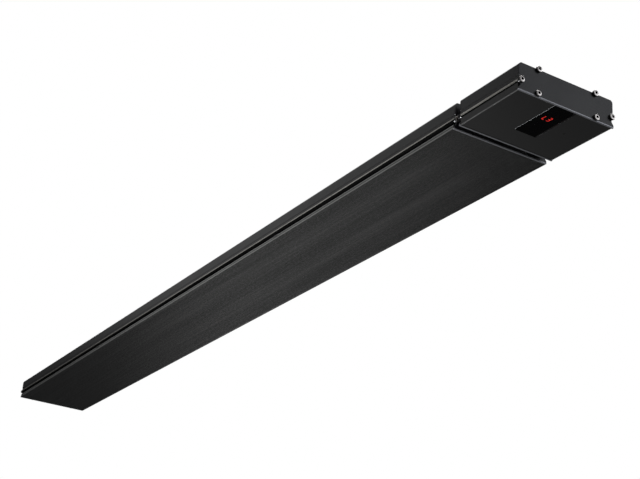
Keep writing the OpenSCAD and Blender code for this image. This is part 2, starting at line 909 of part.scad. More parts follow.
module heat_sink() {
    step = (sink_w - fin_t) / (fin_count - 1);
    color("silver") translate(on_board(sink_shares)) {
        translate([-sink_l / 2, -sink_w / 2, power_z - sink_base]) cube([sink_l, sink_w, sink_base]);
        for (i = [0 : fin_count - 1]) translate([-sink_l / 2, i * step - sink_w / 2, power_z - sink_h])
            cube([sink_l, fin_t, sink_h]);
    }
}

module mains_terminal_block() {
    color("ivory") difference() {
        translate([mains_x0, -mains_w / 2, mains_low_z]) cube([mains_l, mains_w, power_z - mains_low_z]);
        for (i = [-1 : 1]) x_rod(lead_r + seat, mains_x0 - cut, mains_l + 2 * cut, i * lead_pitch, nipple_z);
    }
}

// Earth stud welded to the module's inner end plate, with its two nuts
module earth_stud() {
    color("goldenrod") {
        x_rod(earth_r, mod_x0, earth_l, earth_y, earth_z);
        for (i = [1, 2]) translate([mod_x0 + i * (earth_nut_t + seat), earth_y, earth_z])
            x_nut(earth_r, earth_af, earth_nut_t);
    }
}

module module_inner_end_plate() {
    color("#3b3b40") joining_plate(gap_x1, -1);
}

module module_outer_end_plate() {
    color("#3b3b40") end_plate(mod_x1);
}

module module_inner_end_screws() {
    color("silver") end_screws(gap_x1, -1, upper_ports);
}

module module_outer_end_screws() {
    color("silver") end_screws(x_end, 1, six_ports);
}

// Cable gland on the back of the module

module gland_body() {
    h = gland_in + gland_hex_t + gland_neck_h;
    color("#202022") translate([gland_x, 0, body_h - gland_in]) difference() {
        union() {
            translate([0, 0, gland_in]) hexagon(gland_hex_af, gland_hex_t);
            cylinder(r = gland_r, h = h);
        }
        translate([0, 0, -cut]) cylinder(r = gland_bore_r, h = h + 2 * cut);
        translate([0, 0, h - seal_in]) cylinder(r = seal_r + seat, h = seal_in + cut);
    }
}

// Seal with a nose that stands in the mouth of the dome nut
module gland_seal() {
    color("#101010") translate([gland_x, 0, body_h + gland_hex_t + gland_neck_h - seal_in]) difference() {
        union() {
            cylinder(r = seal_r, h = seal_in + seal_out);
            cylinder(r = gland_bore_r - seat, h = seal_h);
        }
        translate([0, 0, -cut]) cylinder(r = seal_bore_r, h = seal_h + 2 * cut);
    }
}

module gland_dome_nut() {
    dome_z = gland_nut_h - gland_mouth_t;
    color("#202022") translate([gland_x, 0, body_h + gland_hex_t]) difference() {
        union() {
            hexagon(gland_nut_af, gland_neck_h);
            rotate_extrude() polygon([
                [0, 0], [gland_nut_af / 2, 0], [gland_nut_af / 2, gland_neck_h],
                [(gland_nut_af - gland_mouth_t) / 2, dome_z],
                [gland_bore_r + gland_mouth_t / 2, gland_nut_h], [0, gland_nut_h]
            ]);
        }
        translate([0, 0, -cut]) cylinder(r = gland_r + thread_gap, h = gland_neck_h + cut);
        cylinder(r = seal_r + seat, h = gland_neck_h + seal_out);
        cylinder(r = gland_bore_r, h = gland_nut_h + cut);
    }
}

module gland_locknut() {
    color("#202022") translate([gland_x, 0, body_h - wall_t - gland_nut_t]) difference() {
        hexagon(gland_locknut_af, gland_nut_t);
        translate([0, 0, -cut]) cylinder(r = gland_r + thread_gap, h = gland_nut_t + 2 * cut);
    }
}

// Joint between the two boxes

module joining_nipple() {
    x0 = heat_x1 - nipple_out;
    len = mod_x0 + nipple_out - x0;
    color("#1a1a1a") difference() {
        union() {
            x_rod(nipple_r, x0, len, 0, nipple_z);
            x_rod(nipple_flange_r, gap_x0, module_gap, 0, nipple_z);
        }
        x_rod(nipple_bore_r, x0 - cut, len + 2 * cut, 0, nipple_z);
    }
}

module nipple_locknuts() {
    color("#1a1a1a") for (x = [heat_x1, mod_x0 + locknut_t])
        translate([x, 0, nipple_z]) x_nut(nipple_r, locknut_af, locknut_t);
}

module spacer_sleeves() {
    color("#1a1a1a") both_sides() difference() {
        x_rod(sleeve_r, gap_x0, module_gap, sleeve_y, sleeve_z);
        x_rod(joint_bolt_r + seat, gap_x0 - cut, module_gap + 2 * cut, sleeve_y, sleeve_z);
    }
}

// Bolts through the two inner end plates, their heads in the heater and their nuts in the module
module joining_bolts() {
    shank = mod_x0 - heat_x1 + nut_t + joint_bolt_r / 2;
    color("silver") both_sides() {
        translate([heat_x1, sleeve_y, sleeve_z]) rotate([0, 180, 0]) x_bolt(joint_bolt_r, shank);
        translate([mod_x0 + nut_t, sleeve_y, sleeve_z]) x_nut(joint_bolt_r, nut_af, nut_t);
    }
}

// Leads from the mains terminal block through the nipple to the ceramic block
module heater_leads() {
    x0 = block_x1 - lead_bite;
    color("tan") for (i = [-1 : 1]) x_rod(lead_r, x0, mains_x0 + lead_bite - x0, i * lead_pitch, nipple_z);
}

// Hangers

// Rectangle with round corners about the origin
module rounded_plate(len, w, r) {
    square([len - 2 * r, w], center = true);
    square([len, w - 2 * r], center = true);
    for (x = [-1, 1], y = [-1, 1]) translate([x * (len / 2 - r), y * (w / 2 - r)]) circle(r);
}

// Slot about the tilt axis in which the lock bolt travels
module arc_slot() {
    far = 2 * ear_top_r;
    intersection() {
        difference() {
            circle(arc_r + arc_slot_r);
            circle(arc_r - arc_slot_r);
        }
        polygon([
            [0, 0], [far * sin(tilt), far * cos(tilt)], [0, 2 * far], [-far * sin(tilt), far * cos(tilt)]
        ]);
    }
    for (s = [-1, 1]) rotate(s * tilt) translate([0, arc_r]) circle(arc_slot_r - thread_gap);
}

module hanger_foot(x) {
    color("#2a2a2c") {
        translate([x, 0, body_h]) linear_extrude(strip_t) difference() {
            rounded_plate(foot_l, foot_w, yoke_corner_r);
            for (s = [-1, 1]) translate([0, s * rail_y]) circle(bolt_r + slide_gap);
        }
        for (ear_x = [x - foot_l / 2, x + foot_ear_x]) along_x(ear_x, strip_t) difference() {
            union() {
                translate([0, pivot_z]) circle(ear_top_r);
                polygon([
                    [-ear_foot_w / 2, body_h], [ear_foot_w / 2, body_h],
                    [ear_top_r, pivot_z], [-ear_top_r, pivot_z]
                ]);
            }
            translate([0, pivot_z]) {
                circle(bolt_r + thread_gap);
                arc_slot();
            }
        }
    }
}

module hanger_slide_nuts(x) {
    nut_w = rail_in_w - 2 * slide_nut_gap;
    color("silver") both_sides() difference() {
        translate([x - slide_nut_l / 2, rail_y - nut_w / 2, rail_roof_z - slide_nut_t])
            cube([slide_nut_l, nut_w, slide_nut_t]);
        translate([x, rail_y, rail_floor_z]) cylinder(r = bolt_r + thread_gap, h = rail_in_h);
    }
}

// Bolts through the foot into the slide nuts, with their washers
module hanger_foot_bolts(x) {
    head_z = body_h + strip_t + washer_t;
    end_z = rail_floor_z + slide_gap;
    color("silver") both_sides() translate([x, rail_y, 0]) {
        translate([0, 0, head_z]) hexagon(nut_af, bolt_head_t);
        translate([0, 0, end_z]) cylinder(r = bolt_r, h = head_z - end_z + bolt_head_t / 2);
        translate([0, 0, head_z - washer_t]) difference() {
            cylinder(r = washer_r, h = washer_t);
            translate([0, 0, -cut]) cylinder(r = bolt_r + seat, h = washer_t + 2 * cut);
        }
    }
}

// A bolt and nut through each pair of ears, at a height above the face
module ear_bolts(x, z) {
    shank = yoke_end_x - foot_ear_x + nut_t + bolt_r / 2;
    color("silver") translate([x, 0, z]) for (s = [0, 1]) mirror([s, 0, 0]) {
        translate([yoke_end_x, 0, 0]) x_bolt(bolt_r, shank);
        translate([foot_ear_x, 0, 0]) x_nut(bolt_r, nut_af, nut_t);
    }
}

// Tilting yoke: a slotted ceiling plate with an ear at each end, outside the foot's ears
module hanger_yoke(x) {
    plate_z = pivot_z + yoke_h;
    color("#2a2a2c") {
        translate([x, 0, plate_z]) linear_extrude(strip_t) difference() {
            rounded_plate(2 * yoke_end_x, yoke_w, yoke_corner_r);
            for (s = [-1, 1]) translate([0, s * slot_pitch / 2]) rotate(90) {
                square([slot_l - 2 * slot_r, 2 * slot_r], center = true);
                for (e = [-1, 1]) translate([e * (slot_l / 2 - slot_r), 0]) circle(slot_r);
            }
        }
        for (ear_x = [x - yoke_end_x, x + yoke_ear_x]) along_x(ear_x, strip_t) difference() {
            union() {
                translate([0, pivot_z]) circle(yoke_eye_r);
                polygon([
                    [-yoke_ear_w / 2, plate_z + strip_t], [yoke_ear_w / 2, plate_z + strip_t],
                    [yoke_eye_r, pivot_z], [-yoke_eye_r, pivot_z]
                ]);
            }
            translate([0, pivot_z]) {
                circle(bolt_r + thread_gap);
                translate([0, arc_r]) circle(bolt_r + thread_gap);
            }
        }
    }
}

module far_hanger_foot() { hanger_foot(hanger_x[0]); }
module far_hanger_slide_nuts() { hanger_slide_nuts(hanger_x[0]); }
module far_hanger_foot_bolts() { hanger_foot_bolts(hanger_x[0]); }
module far_hanger_pivot_bolts() { ear_bolts(hanger_x[0], pivot_z); }
module far_hanger_yoke() { hanger_yoke(hanger_x[0]); }
module far_hanger_lock_bolts() { ear_bolts(hanger_x[0], pivot_z + arc_r); }
module near_hanger_foot() { hanger_foot(hanger_x[1]); }
module near_hanger_slide_nuts() { hanger_slide_nuts(hanger_x[1]); }
module near_hanger_foot_bolts() { hanger_foot_bolts(hanger_x[1]); }
module near_hanger_pivot_bolts() { ear_bolts(hanger_x[1], pivot_z); }
module near_hanger_yoke() { hanger_yoke(hanger_x[1]); }
module near_hanger_lock_bolts() { ear_bolts(hanger_x[1], pivot_z + arc_r); }

heater_back_casing();
radiating_panel();
lip_clips();
side_baffles();
reflector_sheet();
insulation_blanket();
heating_rods();
rod_bushes();
rod_clips();
link_straps();
thermal_cutout();
ceramic_block();
heater_near_end_plate();
heater_far_end_plate();
heater_near_end_screws();
heater_far_end_screws();
module_back_casing();
face_cover();
display_window();
digit_block();
digit_segments();
display_board();
board_pillars();
board_screws();
infrared_receiver();
indicator_light();
power_board();
power_board_fixings();
relays();
transformer();
capacitors();
heat_sink();
mains_terminal_block();
earth_stud();
module_inner_end_plate();
module_outer_end_plate();
module_inner_end_screws();
module_outer_end_screws();
gland_body();
gland_seal();
gland_dome_nut();
gland_locknut();
gap_flush_screws();
joining_nipple();
nipple_locknuts();
spacer_sleeves();
joining_bolts();
heater_leads();
far_hanger_foot();
far_hanger_slide_nuts();
far_hanger_foot_bolts();
far_hanger_pivot_bolts();
far_hanger_yoke();
far_hanger_lock_bolts();
near_hanger_foot();
near_hanger_slide_nuts();
near_hanger_foot_bolts();
near_hanger_pivot_bolts();
near_hanger_yoke();
near_hanger_lock_bolts();
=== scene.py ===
"""Looks of a radiant strip heater with a control module at its end and two hangers on its back.

Lengths are in metres in the part's own frame: X runs along the heater to the control module, Y across it and
Z up to the ceiling side, with the origin under the middle of the radiating face.
"""
import logging
import math
from contextlib import contextmanager
from dataclasses import dataclass
from enum import Enum
from typing import Callable, Dict, Iterator, List, Optional, Sequence, Tuple, Union

import bmesh
import bpy
from mathutils import Matrix, Vector


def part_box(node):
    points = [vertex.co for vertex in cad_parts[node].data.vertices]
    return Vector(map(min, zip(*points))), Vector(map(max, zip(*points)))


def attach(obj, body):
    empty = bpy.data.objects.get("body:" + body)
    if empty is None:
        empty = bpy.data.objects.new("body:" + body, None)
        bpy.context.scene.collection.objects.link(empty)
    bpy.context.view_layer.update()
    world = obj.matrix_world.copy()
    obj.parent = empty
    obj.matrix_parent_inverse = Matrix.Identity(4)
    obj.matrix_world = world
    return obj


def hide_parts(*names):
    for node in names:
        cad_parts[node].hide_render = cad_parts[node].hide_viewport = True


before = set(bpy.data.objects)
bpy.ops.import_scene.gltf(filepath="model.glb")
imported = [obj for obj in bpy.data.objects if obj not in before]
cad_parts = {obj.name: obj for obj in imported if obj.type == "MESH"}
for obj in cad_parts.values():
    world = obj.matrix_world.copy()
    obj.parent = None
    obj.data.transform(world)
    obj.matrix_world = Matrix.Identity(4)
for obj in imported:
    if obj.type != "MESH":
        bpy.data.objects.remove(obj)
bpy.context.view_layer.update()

LOG = logging.getLogger("strip_heater")
MM = 0.001
NOISE_ROUGHNESS = 0.55
HEXAGON = math.radians(30.0)
QUARTER = math.radians(90.0)
STEEP = 0.9
Triple = Tuple[float, float, float]
Colour = Triple
Thing = bpy.types.Object
Test = Callable[[Vector, Vector], bool]


def even(scale: float) -> Triple:
    """The same scale along all three axes."""
    return scale, scale, scale


class Wire:
    """A shader socket that takes part in sums: each sum adds its Math node."""

    def __init__(self, graph: "Graph", socket: bpy.types.NodeSocket) -> None:
        """Wraps a socket of a graph."""
        self.graph = graph
        self.socket = socket

    def _sum(self, operation: str, first: object, second: object) -> "Wire":
        """Adds one Math node on two values or wires."""
        return self.graph.wire("ShaderNodeMath", {"operation": operation}, {0: first, 1: second})

    def __add__(self, other: object) -> "Wire":
        """This plus other."""
        return self._sum("ADD", self, other)

    __radd__ = __add__

    def __sub__(self, other: object) -> "Wire":
        """This less other."""
        return self._sum("SUBTRACT", self, other)

    def __rsub__(self, other: object) -> "Wire":
        """Other less this."""
        return self._sum("SUBTRACT", other, self)

    def __mul__(self, other: object) -> "Wire":
        """This times other."""
        return self._sum("MULTIPLY", self, other)

    def __abs__(self) -> "Wire":
        """This without its sign."""
        return self._sum("ABSOLUTE", self, 0.0)

    def above(self, edge: float, soft: float) -> "Wire":
        """A mask that rises from 0 to 1 over a soft width centred on an edge."""
        feeds = {"Value": self, "From Min": edge - soft / 2, "From Max": edge + soft / 2}
        return self.graph.wire("ShaderNodeMapRange", {"interpolation_type": "SMOOTHSTEP"}, feeds)

    def between(self, low: float, high: float, soft: float, fade: float) -> "Wire":
        """A mask of 1 between two edges, each with its own soft width, all in millimetres."""
        return self.above(low * MM, soft * MM) * (1.0 - self.above(high * MM, fade * MM))


class Graph:
    """The node tree of one material."""

    def __init__(self, name: str) -> None:
        """Starts an empty material of that name."""
        self.material = bpy.data.materials.new(name)
        self.material.use_nodes = True
        self.tree = self.material.node_tree
        self.tree.nodes.clear()
        self.place = self.wire("ShaderNodeTexCoord", {}, {}, "Object")

    def node(self, kind: str, settings: Dict[str, object], feeds: Dict[object, object]) -> bpy.types.Node:
        """Adds a node with its settings, then values or wires for its input sockets, by name or number."""
        node = self.tree.nodes.new(kind)
        for key, value in settings.items():
            setattr(node, key, value)
        for key, value in feeds.items():
            socket = node.inputs[key]
            if isinstance(value, Wire):
                self.tree.links.new(value.socket, socket)
            elif isinstance(value, (tuple, list)) and socket.type == "RGBA":
                socket.default_value = (*value, 1.0)
            else:
                socket.default_value = value
        return node

    def wire(self, kind: str, settings: Dict[str, object], feeds: Dict[object, object], out: object = 0) -> Wire:
        """Adds a node and returns one of its outputs, by name or number."""
        return Wire(self, self.node(kind, settings, feeds).outputs[out])

    def axes(self) -> Tuple[Wire, Wire, Wire]:
        """The object's own X, Y and Z, in metres."""
        split = self.node("ShaderNodeSeparateXYZ", {}, {0: self.place})
        return tuple(Wire(self, split.outputs[i]) for i in range(3))

    def scaled(self, scale: Sequence[float], turn: Sequence[float] = (0.0, 0.0, 0.0)) -> Wire:
        """The object's coordinates, turned and then scaled axis by axis."""
        return self.wire("ShaderNodeMapping", {}, {"Vector": self.place, "Rotation": turn, "Scale": scale})

    def facing(self, axis: int) -> Wire:
        """How far the surface faces along one axis of the scene, from -1 to 1."""
        normal = self.wire("ShaderNodeNewGeometry", {}, {}, "Normal")
        return self.wire("ShaderNodeSeparateXYZ", {}, {0: normal}, axis)

    def noise(self, scale: Sequence[float], detail: float) -> Wire:
        """Soft noise with so many lumps a metre along each axis."""
        feeds = {"Vector": self.scaled(scale), "Scale": 1.0, "Detail": detail, "Roughness": NOISE_ROUGHNESS}
        return self.wire("ShaderNodeTexNoise", {}, feeds)

    def cells(self, scale: Sequence[float], metric: str = "EUCLIDEAN") -> Wire:
        """Distance in a cell pattern with so many cells a metre along each axis."""
        feeds = {"Vector": self.scaled(scale), "Scale": 1.0}
        return self.wire("ShaderNodeTexVoronoi", {"feature": "F1", "distance": metric}, feeds)

    def waves(self, scale: Sequence[float], along: str, twist: float = 0.0) -> Wire:
        """Even stripes across one axis, bent by a little noise where twist is given."""
        feeds = {"Vector": self.scaled(scale), "Scale": 1.0, "Distortion": twist, "Detail": 2.0}
        return self.wire("ShaderNodeTexWave", {"bands_direction": along}, feeds)

    def mix(self, share: object, low: object, high: object) -> Wire:
        """Blends two colours by a share."""
        return self.wire("ShaderNodeMix", {"data_type": "RGBA"}, {0: share, 6: low, 7: high}, 2)

    def bump(self, height: Wire, depth: float) -> Wire:
        """A normal bent by a height that runs from 0 to 1 over a depth in metres."""
        return self.wire("ShaderNodeBump", {}, {"Height": height, "Distance": depth, "Strength": 1.0})

    def shade(self, feeds: Dict[object, object]) -> bpy.types.Material:
        """Ends the graph in a Principled shader fed by these values or wires."""
        shader = self.wire("ShaderNodeBsdfPrincipled", {}, feeds)
        self.node("ShaderNodeOutputMaterial", {}, {0: shader})
        return self.material


class Pattern(Enum):
    """What the surface of a finish shows close up."""

    DRAWN = "fine lines along the extrusion"
    POWDER = "powder coat with a fine orange peel"
    TURNED = "polished metal with faint scratches"
    ROLLED = "bright sheet with roller lines"
    MOULDED = "moulded plastic with a spark-eroded grain"
    FIRED = "ceramic with pores and specks"
    FELTED = "matted fibres"
    BRAIDED = "crossing threads"
    ETCHED = "tracks and pads on a circuit board"
    STACKED = "edges of stacked sheets"
    TEMPERED = "sheath coloured by heat"


class Texture(Enum):
    """What one layer of a pattern is made of."""

    NOISE = "soft lumps"
    CELLS = "round pits"
    STRIPES = "even stripes"


@dataclass(frozen=True)
class Layer:
    """One layer of a pattern, with its shares in the pattern's tone and height."""

    texture: Texture
    scale: Triple
    tone: float
    height: float
    detail: float = 2.0
    mask: Optional[Tuple[float, float]] = None
    along: str = "X"
    twist: float = 0.0

    def wire(self, graph: Graph, grain: float) -> Wire:
        """Builds the layer, from 0 to 1, so many times finer than its own scale."""
        scale = tuple(size * grain for size in self.scale)
        if self.texture is Texture.NOISE:
            made = graph.noise(scale, self.detail)
        elif self.texture is Texture.CELLS:
            made = graph.cells(scale)
        else:
            made = graph.waves(scale, self.along, self.twist)
        return made.above(*self.mask) if self.mask else made


LAYERS: Dict[Pattern, Tuple[Layer, ...]] = {
    Pattern.DRAWN: (
        Layer(Texture.NOISE, (6.0, 1500.0, 1500.0), 0.6, 1.0, 3.0),
        Layer(Texture.NOISE, (5.0, 28.0, 28.0), 0.4, 0.0, 3.0)),
    Pattern.POWDER: (
        Layer(Texture.NOISE, even(2600.0), 0.5, 0.25),
        Layer(Texture.NOISE, even(520.0), 0.3, 0.75),
        Layer(Texture.CELLS, even(900.0), -0.25, 0.0, mask=(0.28, 0.2))),
    Pattern.TURNED: (
        Layer(Texture.NOISE, even(180.0), 0.7, 0.0, 4.0),
        Layer(Texture.NOISE, (300.0, 4200.0, 700.0), 0.3, 1.0)),
    Pattern.ROLLED: (
        Layer(Texture.NOISE, (9.0, 2400.0, 2400.0), 0.35, 0.6),
        Layer(Texture.NOISE, (26.0, 40.0, 40.0), 0.65, 0.4, 4.0)),
    Pattern.MOULDED: (
        Layer(Texture.CELLS, even(1500.0), 0.5, 0.7),
        Layer(Texture.NOISE, even(240.0), 0.5, 0.3, 3.0)),
    Pattern.FIRED: (
        Layer(Texture.CELLS, even(700.0), -0.7, 0.6, mask=(0.16, 0.12)),
        Layer(Texture.NOISE, even(1600.0), -0.3, 0.4, 3.0)),
    Pattern.FELTED: (
        Layer(Texture.STRIPES, (90.0, 500.0, 500.0), 0.3, 0.4, along="Y", twist=14.0),
        Layer(Texture.STRIPES, (420.0, 100.0, 300.0), 0.3, 0.4, twist=16.0),
        Layer(Texture.NOISE, even(60.0), 0.4, 0.2, 5.0)),
    Pattern.STACKED: (
        Layer(Texture.STRIPES, (0.0, 0.0, 300.0), 0.6, 1.0, along="Z"),
        Layer(Texture.NOISE, even(300.0), 0.4, 0.0, 4.0)),
    Pattern.TEMPERED: (
        Layer(Texture.NOISE, (16.0, 220.0, 220.0), 0.8, 0.0, 4.0),
        Layer(Texture.NOISE, even(900.0), 0.2, 1.0, 3.0)),
}
FIRST_TONE = {Pattern.POWDER: 0.25, Pattern.FIRED: 1.0}


@dataclass(frozen=True)
class Strip:
    """A strip of painted light along the part's sides: a painted highlight on a crest or an edge, or painted shade in a
    hollow.

    Lengths are in millimetres: it lies further out than a distance from the middle, between two heights.
    """

    colour: Colour
    out: float
    low: float
    high: float
    out_soft: float = 0.3
    soft: float = 0.6
    share: float = 1.0
    metal: float = 0.0
    rough: float = 0.0

    def mask(self, graph: Graph) -> Wire:
        """The strip over the surface, from 0 to its share."""
        _, across, up = graph.axes()
        beside = abs(across).above(self.out * MM, self.out_soft * MM)
        return beside * up.between(self.low, self.high, self.soft, self.soft) * self.share


@dataclass(frozen=True)
class Finish:
    """One surface finish: its colours, gloss and close-up pattern."""

    name: str
    pattern: Pattern
    colour: Colour
    second: Colour
    rough: float = 0.45
    metal: float = 0.0
    grain: float = 1.0
    depth: float = 0.02
    coat: float = 0.0
    coat_rough: float = 0.12
    level: float = 0.5
    # The edge colour is a painted highlight on faces turned downward; slope, softness and metal set where it shows.
    edge: Optional[Colour] = None
    edge_slope: float = -0.6
    edge_soft: float = 0.3
    highlight_metal: float = 0.7
    strips: Tuple[Strip, ...] = ()
    patch: Triple = (9.0, 14.0, 14.0)
    patch_rough: float = 0.14
    tone_rough: float = 0.12

    def make(self) -> bpy.types.Material:
        """Builds the material of this finish."""
        graph = Graph(self.name)
        tone, height = self._pattern(graph)
        patch = graph.noise(self.patch, 3.0)
        rough = self.rough + (tone - 0.5) * self.tone_rough + (patch - 0.5) * self.patch_rough
        colour = graph.mix(tone, self.colour, self.second)
        metal = self.metal
        # Faces turned downward get the edge colour as a painted highlight.
        if self.edge:
            downward_highlight = 1.0 - graph.facing(2).above(self.edge_slope, self.edge_soft)
            colour = graph.mix(downward_highlight * (0.7 + tone * 0.5), colour, self.edge)
            metal = downward_highlight * self.highlight_metal + metal
        # Each strip paints a highlight or shade onto the coat.
        for strip in self.strips:
            mask = strip.mask(graph)
            colour = graph.mix(mask * (0.8 + tone * 0.4), colour, strip.colour)
            metal = mask * strip.metal + metal
            rough = mask * strip.rough + rough
        return graph.shade({
            "Base Color": colour, "Roughness": rough, "Metallic": metal,
            "Coat Weight": self.coat, "Coat Roughness": self.coat_rough, "Specular IOR Level": self.level,
            "Normal": graph.bump(height, self.depth * MM),
        })

    def _pattern(self, graph: Graph) -> Tuple[Wire, Wire]:
        """Builds the close-up pattern: its tone and its height, each from 0 to 1."""
        if self.pattern is Pattern.BRAIDED:
            return self._threads(graph)
        if self.pattern is Pattern.ETCHED:
            return self._tracks(graph)
        tone, height = FIRST_TONE.get(self.pattern, 0.0), 0.0
        for layer in LAYERS[self.pattern]:
            wire = layer.wire(graph, self.grain)
            tone = wire * layer.tone + tone
            if layer.height:
                height = wire * layer.height + height
        return tone, height

    def _threads(self, graph: Graph, pitch: float = 900.0, lean: float = 40.0) -> Tuple[Wire, Wire]:
        """Threads that cross one another, so many in a metre, leaning so many degrees."""
        scale = even(pitch * self.grain)
        turns = [(0.0, 0.0, math.radians(way * lean)) for way in (1.0, -1.0)]
        one, two = (
            graph.wire("ShaderNodeTexWave", {}, {"Vector": graph.scaled(scale, turn), "Scale": 1.0})
            for turn in turns)
        return one * two, one * 0.5 + two * 0.5

    def _tracks(self, graph: Graph) -> Tuple[Wire, Wire]:
        """Copper tracks and pads under a solder mask."""
        k = self.grain
        lanes = abs(graph.waves((55.0 * k, 0.0, 0.0), "X") - 0.5).above(0.36, 0.05)
        ways = abs(graph.waves((0.0, 70.0 * k, 0.0), "Y") - 0.5).above(0.36, 0.05)
        field = graph.cells((70.0 * k, 70.0 * k, 0.0), "CHEBYCHEV").above(0.45, 0.08)
        pads = 1.0 - graph.cells((160.0 * k, 160.0 * k, 0.0)).above(0.22, 0.05)
        tracks = lanes * field + ways * (1.0 - field)
        return tracks * 0.4 + pads * 0.6, tracks * 0.5 + pads * 0.5


@dataclass(frozen=True)
class Band:
    """Painted reflection in a strip along the radiating panel, in millimetres across it."""

    low: float
    high: float
    fade: float
    soft: float = 2.5

    def mask(self, across: Wire) -> Wire:
        """The band over the panel, from 0 to 1."""
        return across.between(self.low, self.high, self.soft, self.fade)


@dataclass(frozen=True)
class RadiatingFinish:
    """Black coat of the radiating panel, with lengthwise bands of painted reflection, a fine grain and a painted sheen
    on the lips.

    The bands run between two places in metres along the panel; the lips' heights are in millimetres.
    """

    name: str = "radiating_coat"
    colour: Colour = (0.0015, 0.0015, 0.0015)
    second: Colour = (0.0190, 0.0190, 0.0185)
    reflection_band: Colour = (0.040, 0.040, 0.039)
    lip_sheen: Colour = (0.25, 0.253, 0.245)
    bands: Tuple[Band, ...] = (Band(-65.0, -28.0, 26.0), Band(7.5, 43.0, 3.0))
    bands_from: float = -0.75
    bands_full: float = 0.35
    bands_end: float = 0.84
    bands_end_soft: float = 0.16
    lip_y: float = 95.6
    lip_y_soft: float = 0.3
    lip_from: float = 1.6
    lip_soft: float = 1.2
    line: Tuple[float, float] = (4.9, 7.0)
    line_soft: float = 0.6
    line_share: float = 0.6
    rough: float = 0.47
    tone_rough: float = 0.1
    grit_rough: float = 0.2
    streak_rough: float = 0.07
    level: float = 0.42
    depth: float = 0.03

    def make(self) -> bpy.types.Material:
        """Builds the material of this finish."""
        graph = Graph(self.name)
        along, across, up = graph.axes()
        lines = graph.noise((5.0, 900.0, 900.0), 3.0)
        fine = graph.noise((14.0, 3800.0, 3800.0), 2.0)
        streak = graph.noise((2.2, 170.0, 170.0), 2.0).above(0.52, 0.14)
        cloud = graph.noise((3.0, 22.0, 10.0), 4.0)
        grit = graph.noise((150.0, 330.0, 330.0), 2.0).above(0.5, 0.3)
        tone = lines * 0.1 + fine * 0.1 + cloud * 0.15 + grit * 0.45 + streak * 0.2
        body = graph.mix(tone, self.colour, self.second)

        # The bands are painted reflection: they rise from the far end towards the middle and end before the near end.
        middle, reach = (self.bands_from + self.bands_full) / 2, self.bands_full - self.bands_from
        ended = along.above(self.bands_end, self.bands_end_soft)
        share = along.above(middle, reach) * (1.0 - ended) * (0.35 + cloud * 0.9)
        painted_reflection = 0.0
        for reflection_band in self.bands:
            painted_reflection = reflection_band.mask(across) + painted_reflection
        coat = graph.mix(painted_reflection * share * (0.4 + grit * 0.25 + streak * 0.35), body, self.reflection_band)

        # The lips get a painted sheen, broken by a line of painted shade.
        beside = abs(across).above(self.lip_y * MM, self.lip_y_soft * MM)
        edge = beside * up.above(self.lip_from * MM, self.lip_soft * MM)
        hollow = up.between(*self.line, self.line_soft, self.line_soft)
        lit = edge * (1.0 - hollow * self.line_share) * (0.6 + fine * 0.5)
        rough = (self.rough + (tone - 0.5) * self.tone_rough + (grit - 0.5) * self.grit_rough
                 + (0.5 - streak) * self.streak_rough)
        return graph.shade({
            "Base Color": graph.mix(lit, coat, self.lip_sheen), "Roughness": rough, "Specular IOR Level": self.level,
            "Normal": graph.bump(lines * 0.6 + fine * 0.4, self.depth * MM),
        })


@dataclass(frozen=True)
class SmokedAcrylic:
    """Tinted glossy acrylic that lets the lit figures through, with a painted highlight on its polished rim."""

    name: str = "smoked_acrylic"
    colour: Colour = (0.0004, 0.0004, 0.0008)
    # The rim colour is a painted highlight on the window's side faces.
    rim: Colour = (0.32, 0.33, 0.34)
    alpha: float = 0.75
    rough: float = 0.09
    rim_rough: float = 0.2
    smear_rough: float = 0.08
    dust_rough: float = 0.04
    level: float = 0.06
    depth: float = 0.004

    def make(self) -> bpy.types.Material:
        """Builds the material of this finish."""
        graph = Graph(self.name)
        # The side faces take the rim colour as a painted highlight, and let nothing through.
        side = abs(graph.facing(1)).above(0.5, 0.3)
        smear = graph.noise((35.0, 60.0, 60.0), 4.0)
        dust = graph.noise(even(1700.0), 2.0)
        rough = self.rough + smear * self.smear_rough + side * self.rim_rough + (dust - 0.5) * self.dust_rough
        return graph.shade({
            "Base Color": graph.mix(side, self.colour, self.rim), "Alpha": self.alpha + side * (1.0 - self.alpha),
            "Roughness": rough, "Specular IOR Level": self.level,
            "Normal": graph.bump(smear * 0.5 + dust * 0.5, self.depth * MM),
        })


@dataclass(frozen=True)
class LitBars:
    """Red bars of the figures, a little uneven in their light."""

    name: str = "lit_bars"
    colour: Colour = (0.30, 0.012, 0.010)
    light: Colour = (1.0, 0.045, 0.035)
    dimmer: Colour = (0.8, 0.03, 0.025)
    rough: float = 0.4
    strength: float = 11.0

    def make(self) -> bpy.types.Material:
        """Builds the material of this finish."""
        graph = Graph(self.name)
        uneven = graph.noise(even(600.0), 2.0)
        return graph.shade({
            "Base Color": self.colour, "Roughness": self.rough, "Emission Strength": self.strength,
            "Emission Color": graph.mix(uneven, self.light, self.dimmer),
        })


AnyFinish = Union[Finish, RadiatingFinish, SmokedAcrylic, LitBars]


def railed(name: str, *strips: Strip) -> Finish:
    """The coat of a back casing, with a painted highlight on its bead's crest and painted shade in the hollow below it.
    """
    return Finish(name, Pattern.DRAWN, (0.007, 0.0072, 0.0073), (0.018, 0.0185, 0.019), 0.36, strips=strips)


def painted_crest_highlight(colour: Colour, low: float, high: float) -> Strip:
    """A painted highlight on the crest of a back casing's bead, between two heights in millimetres."""
    return Strip(colour, 90.0, low, high, share=0.92, metal=0.85, rough=-0.06)


def painted_hollow_shade(high: float) -> Strip:
    """Painted shade in the hollow of a back casing, up to a height in millimetres."""
    return Strip((0.002, 0.002, 0.002), 85.0, 9.0, high, metal=0.95, rough=0.3)


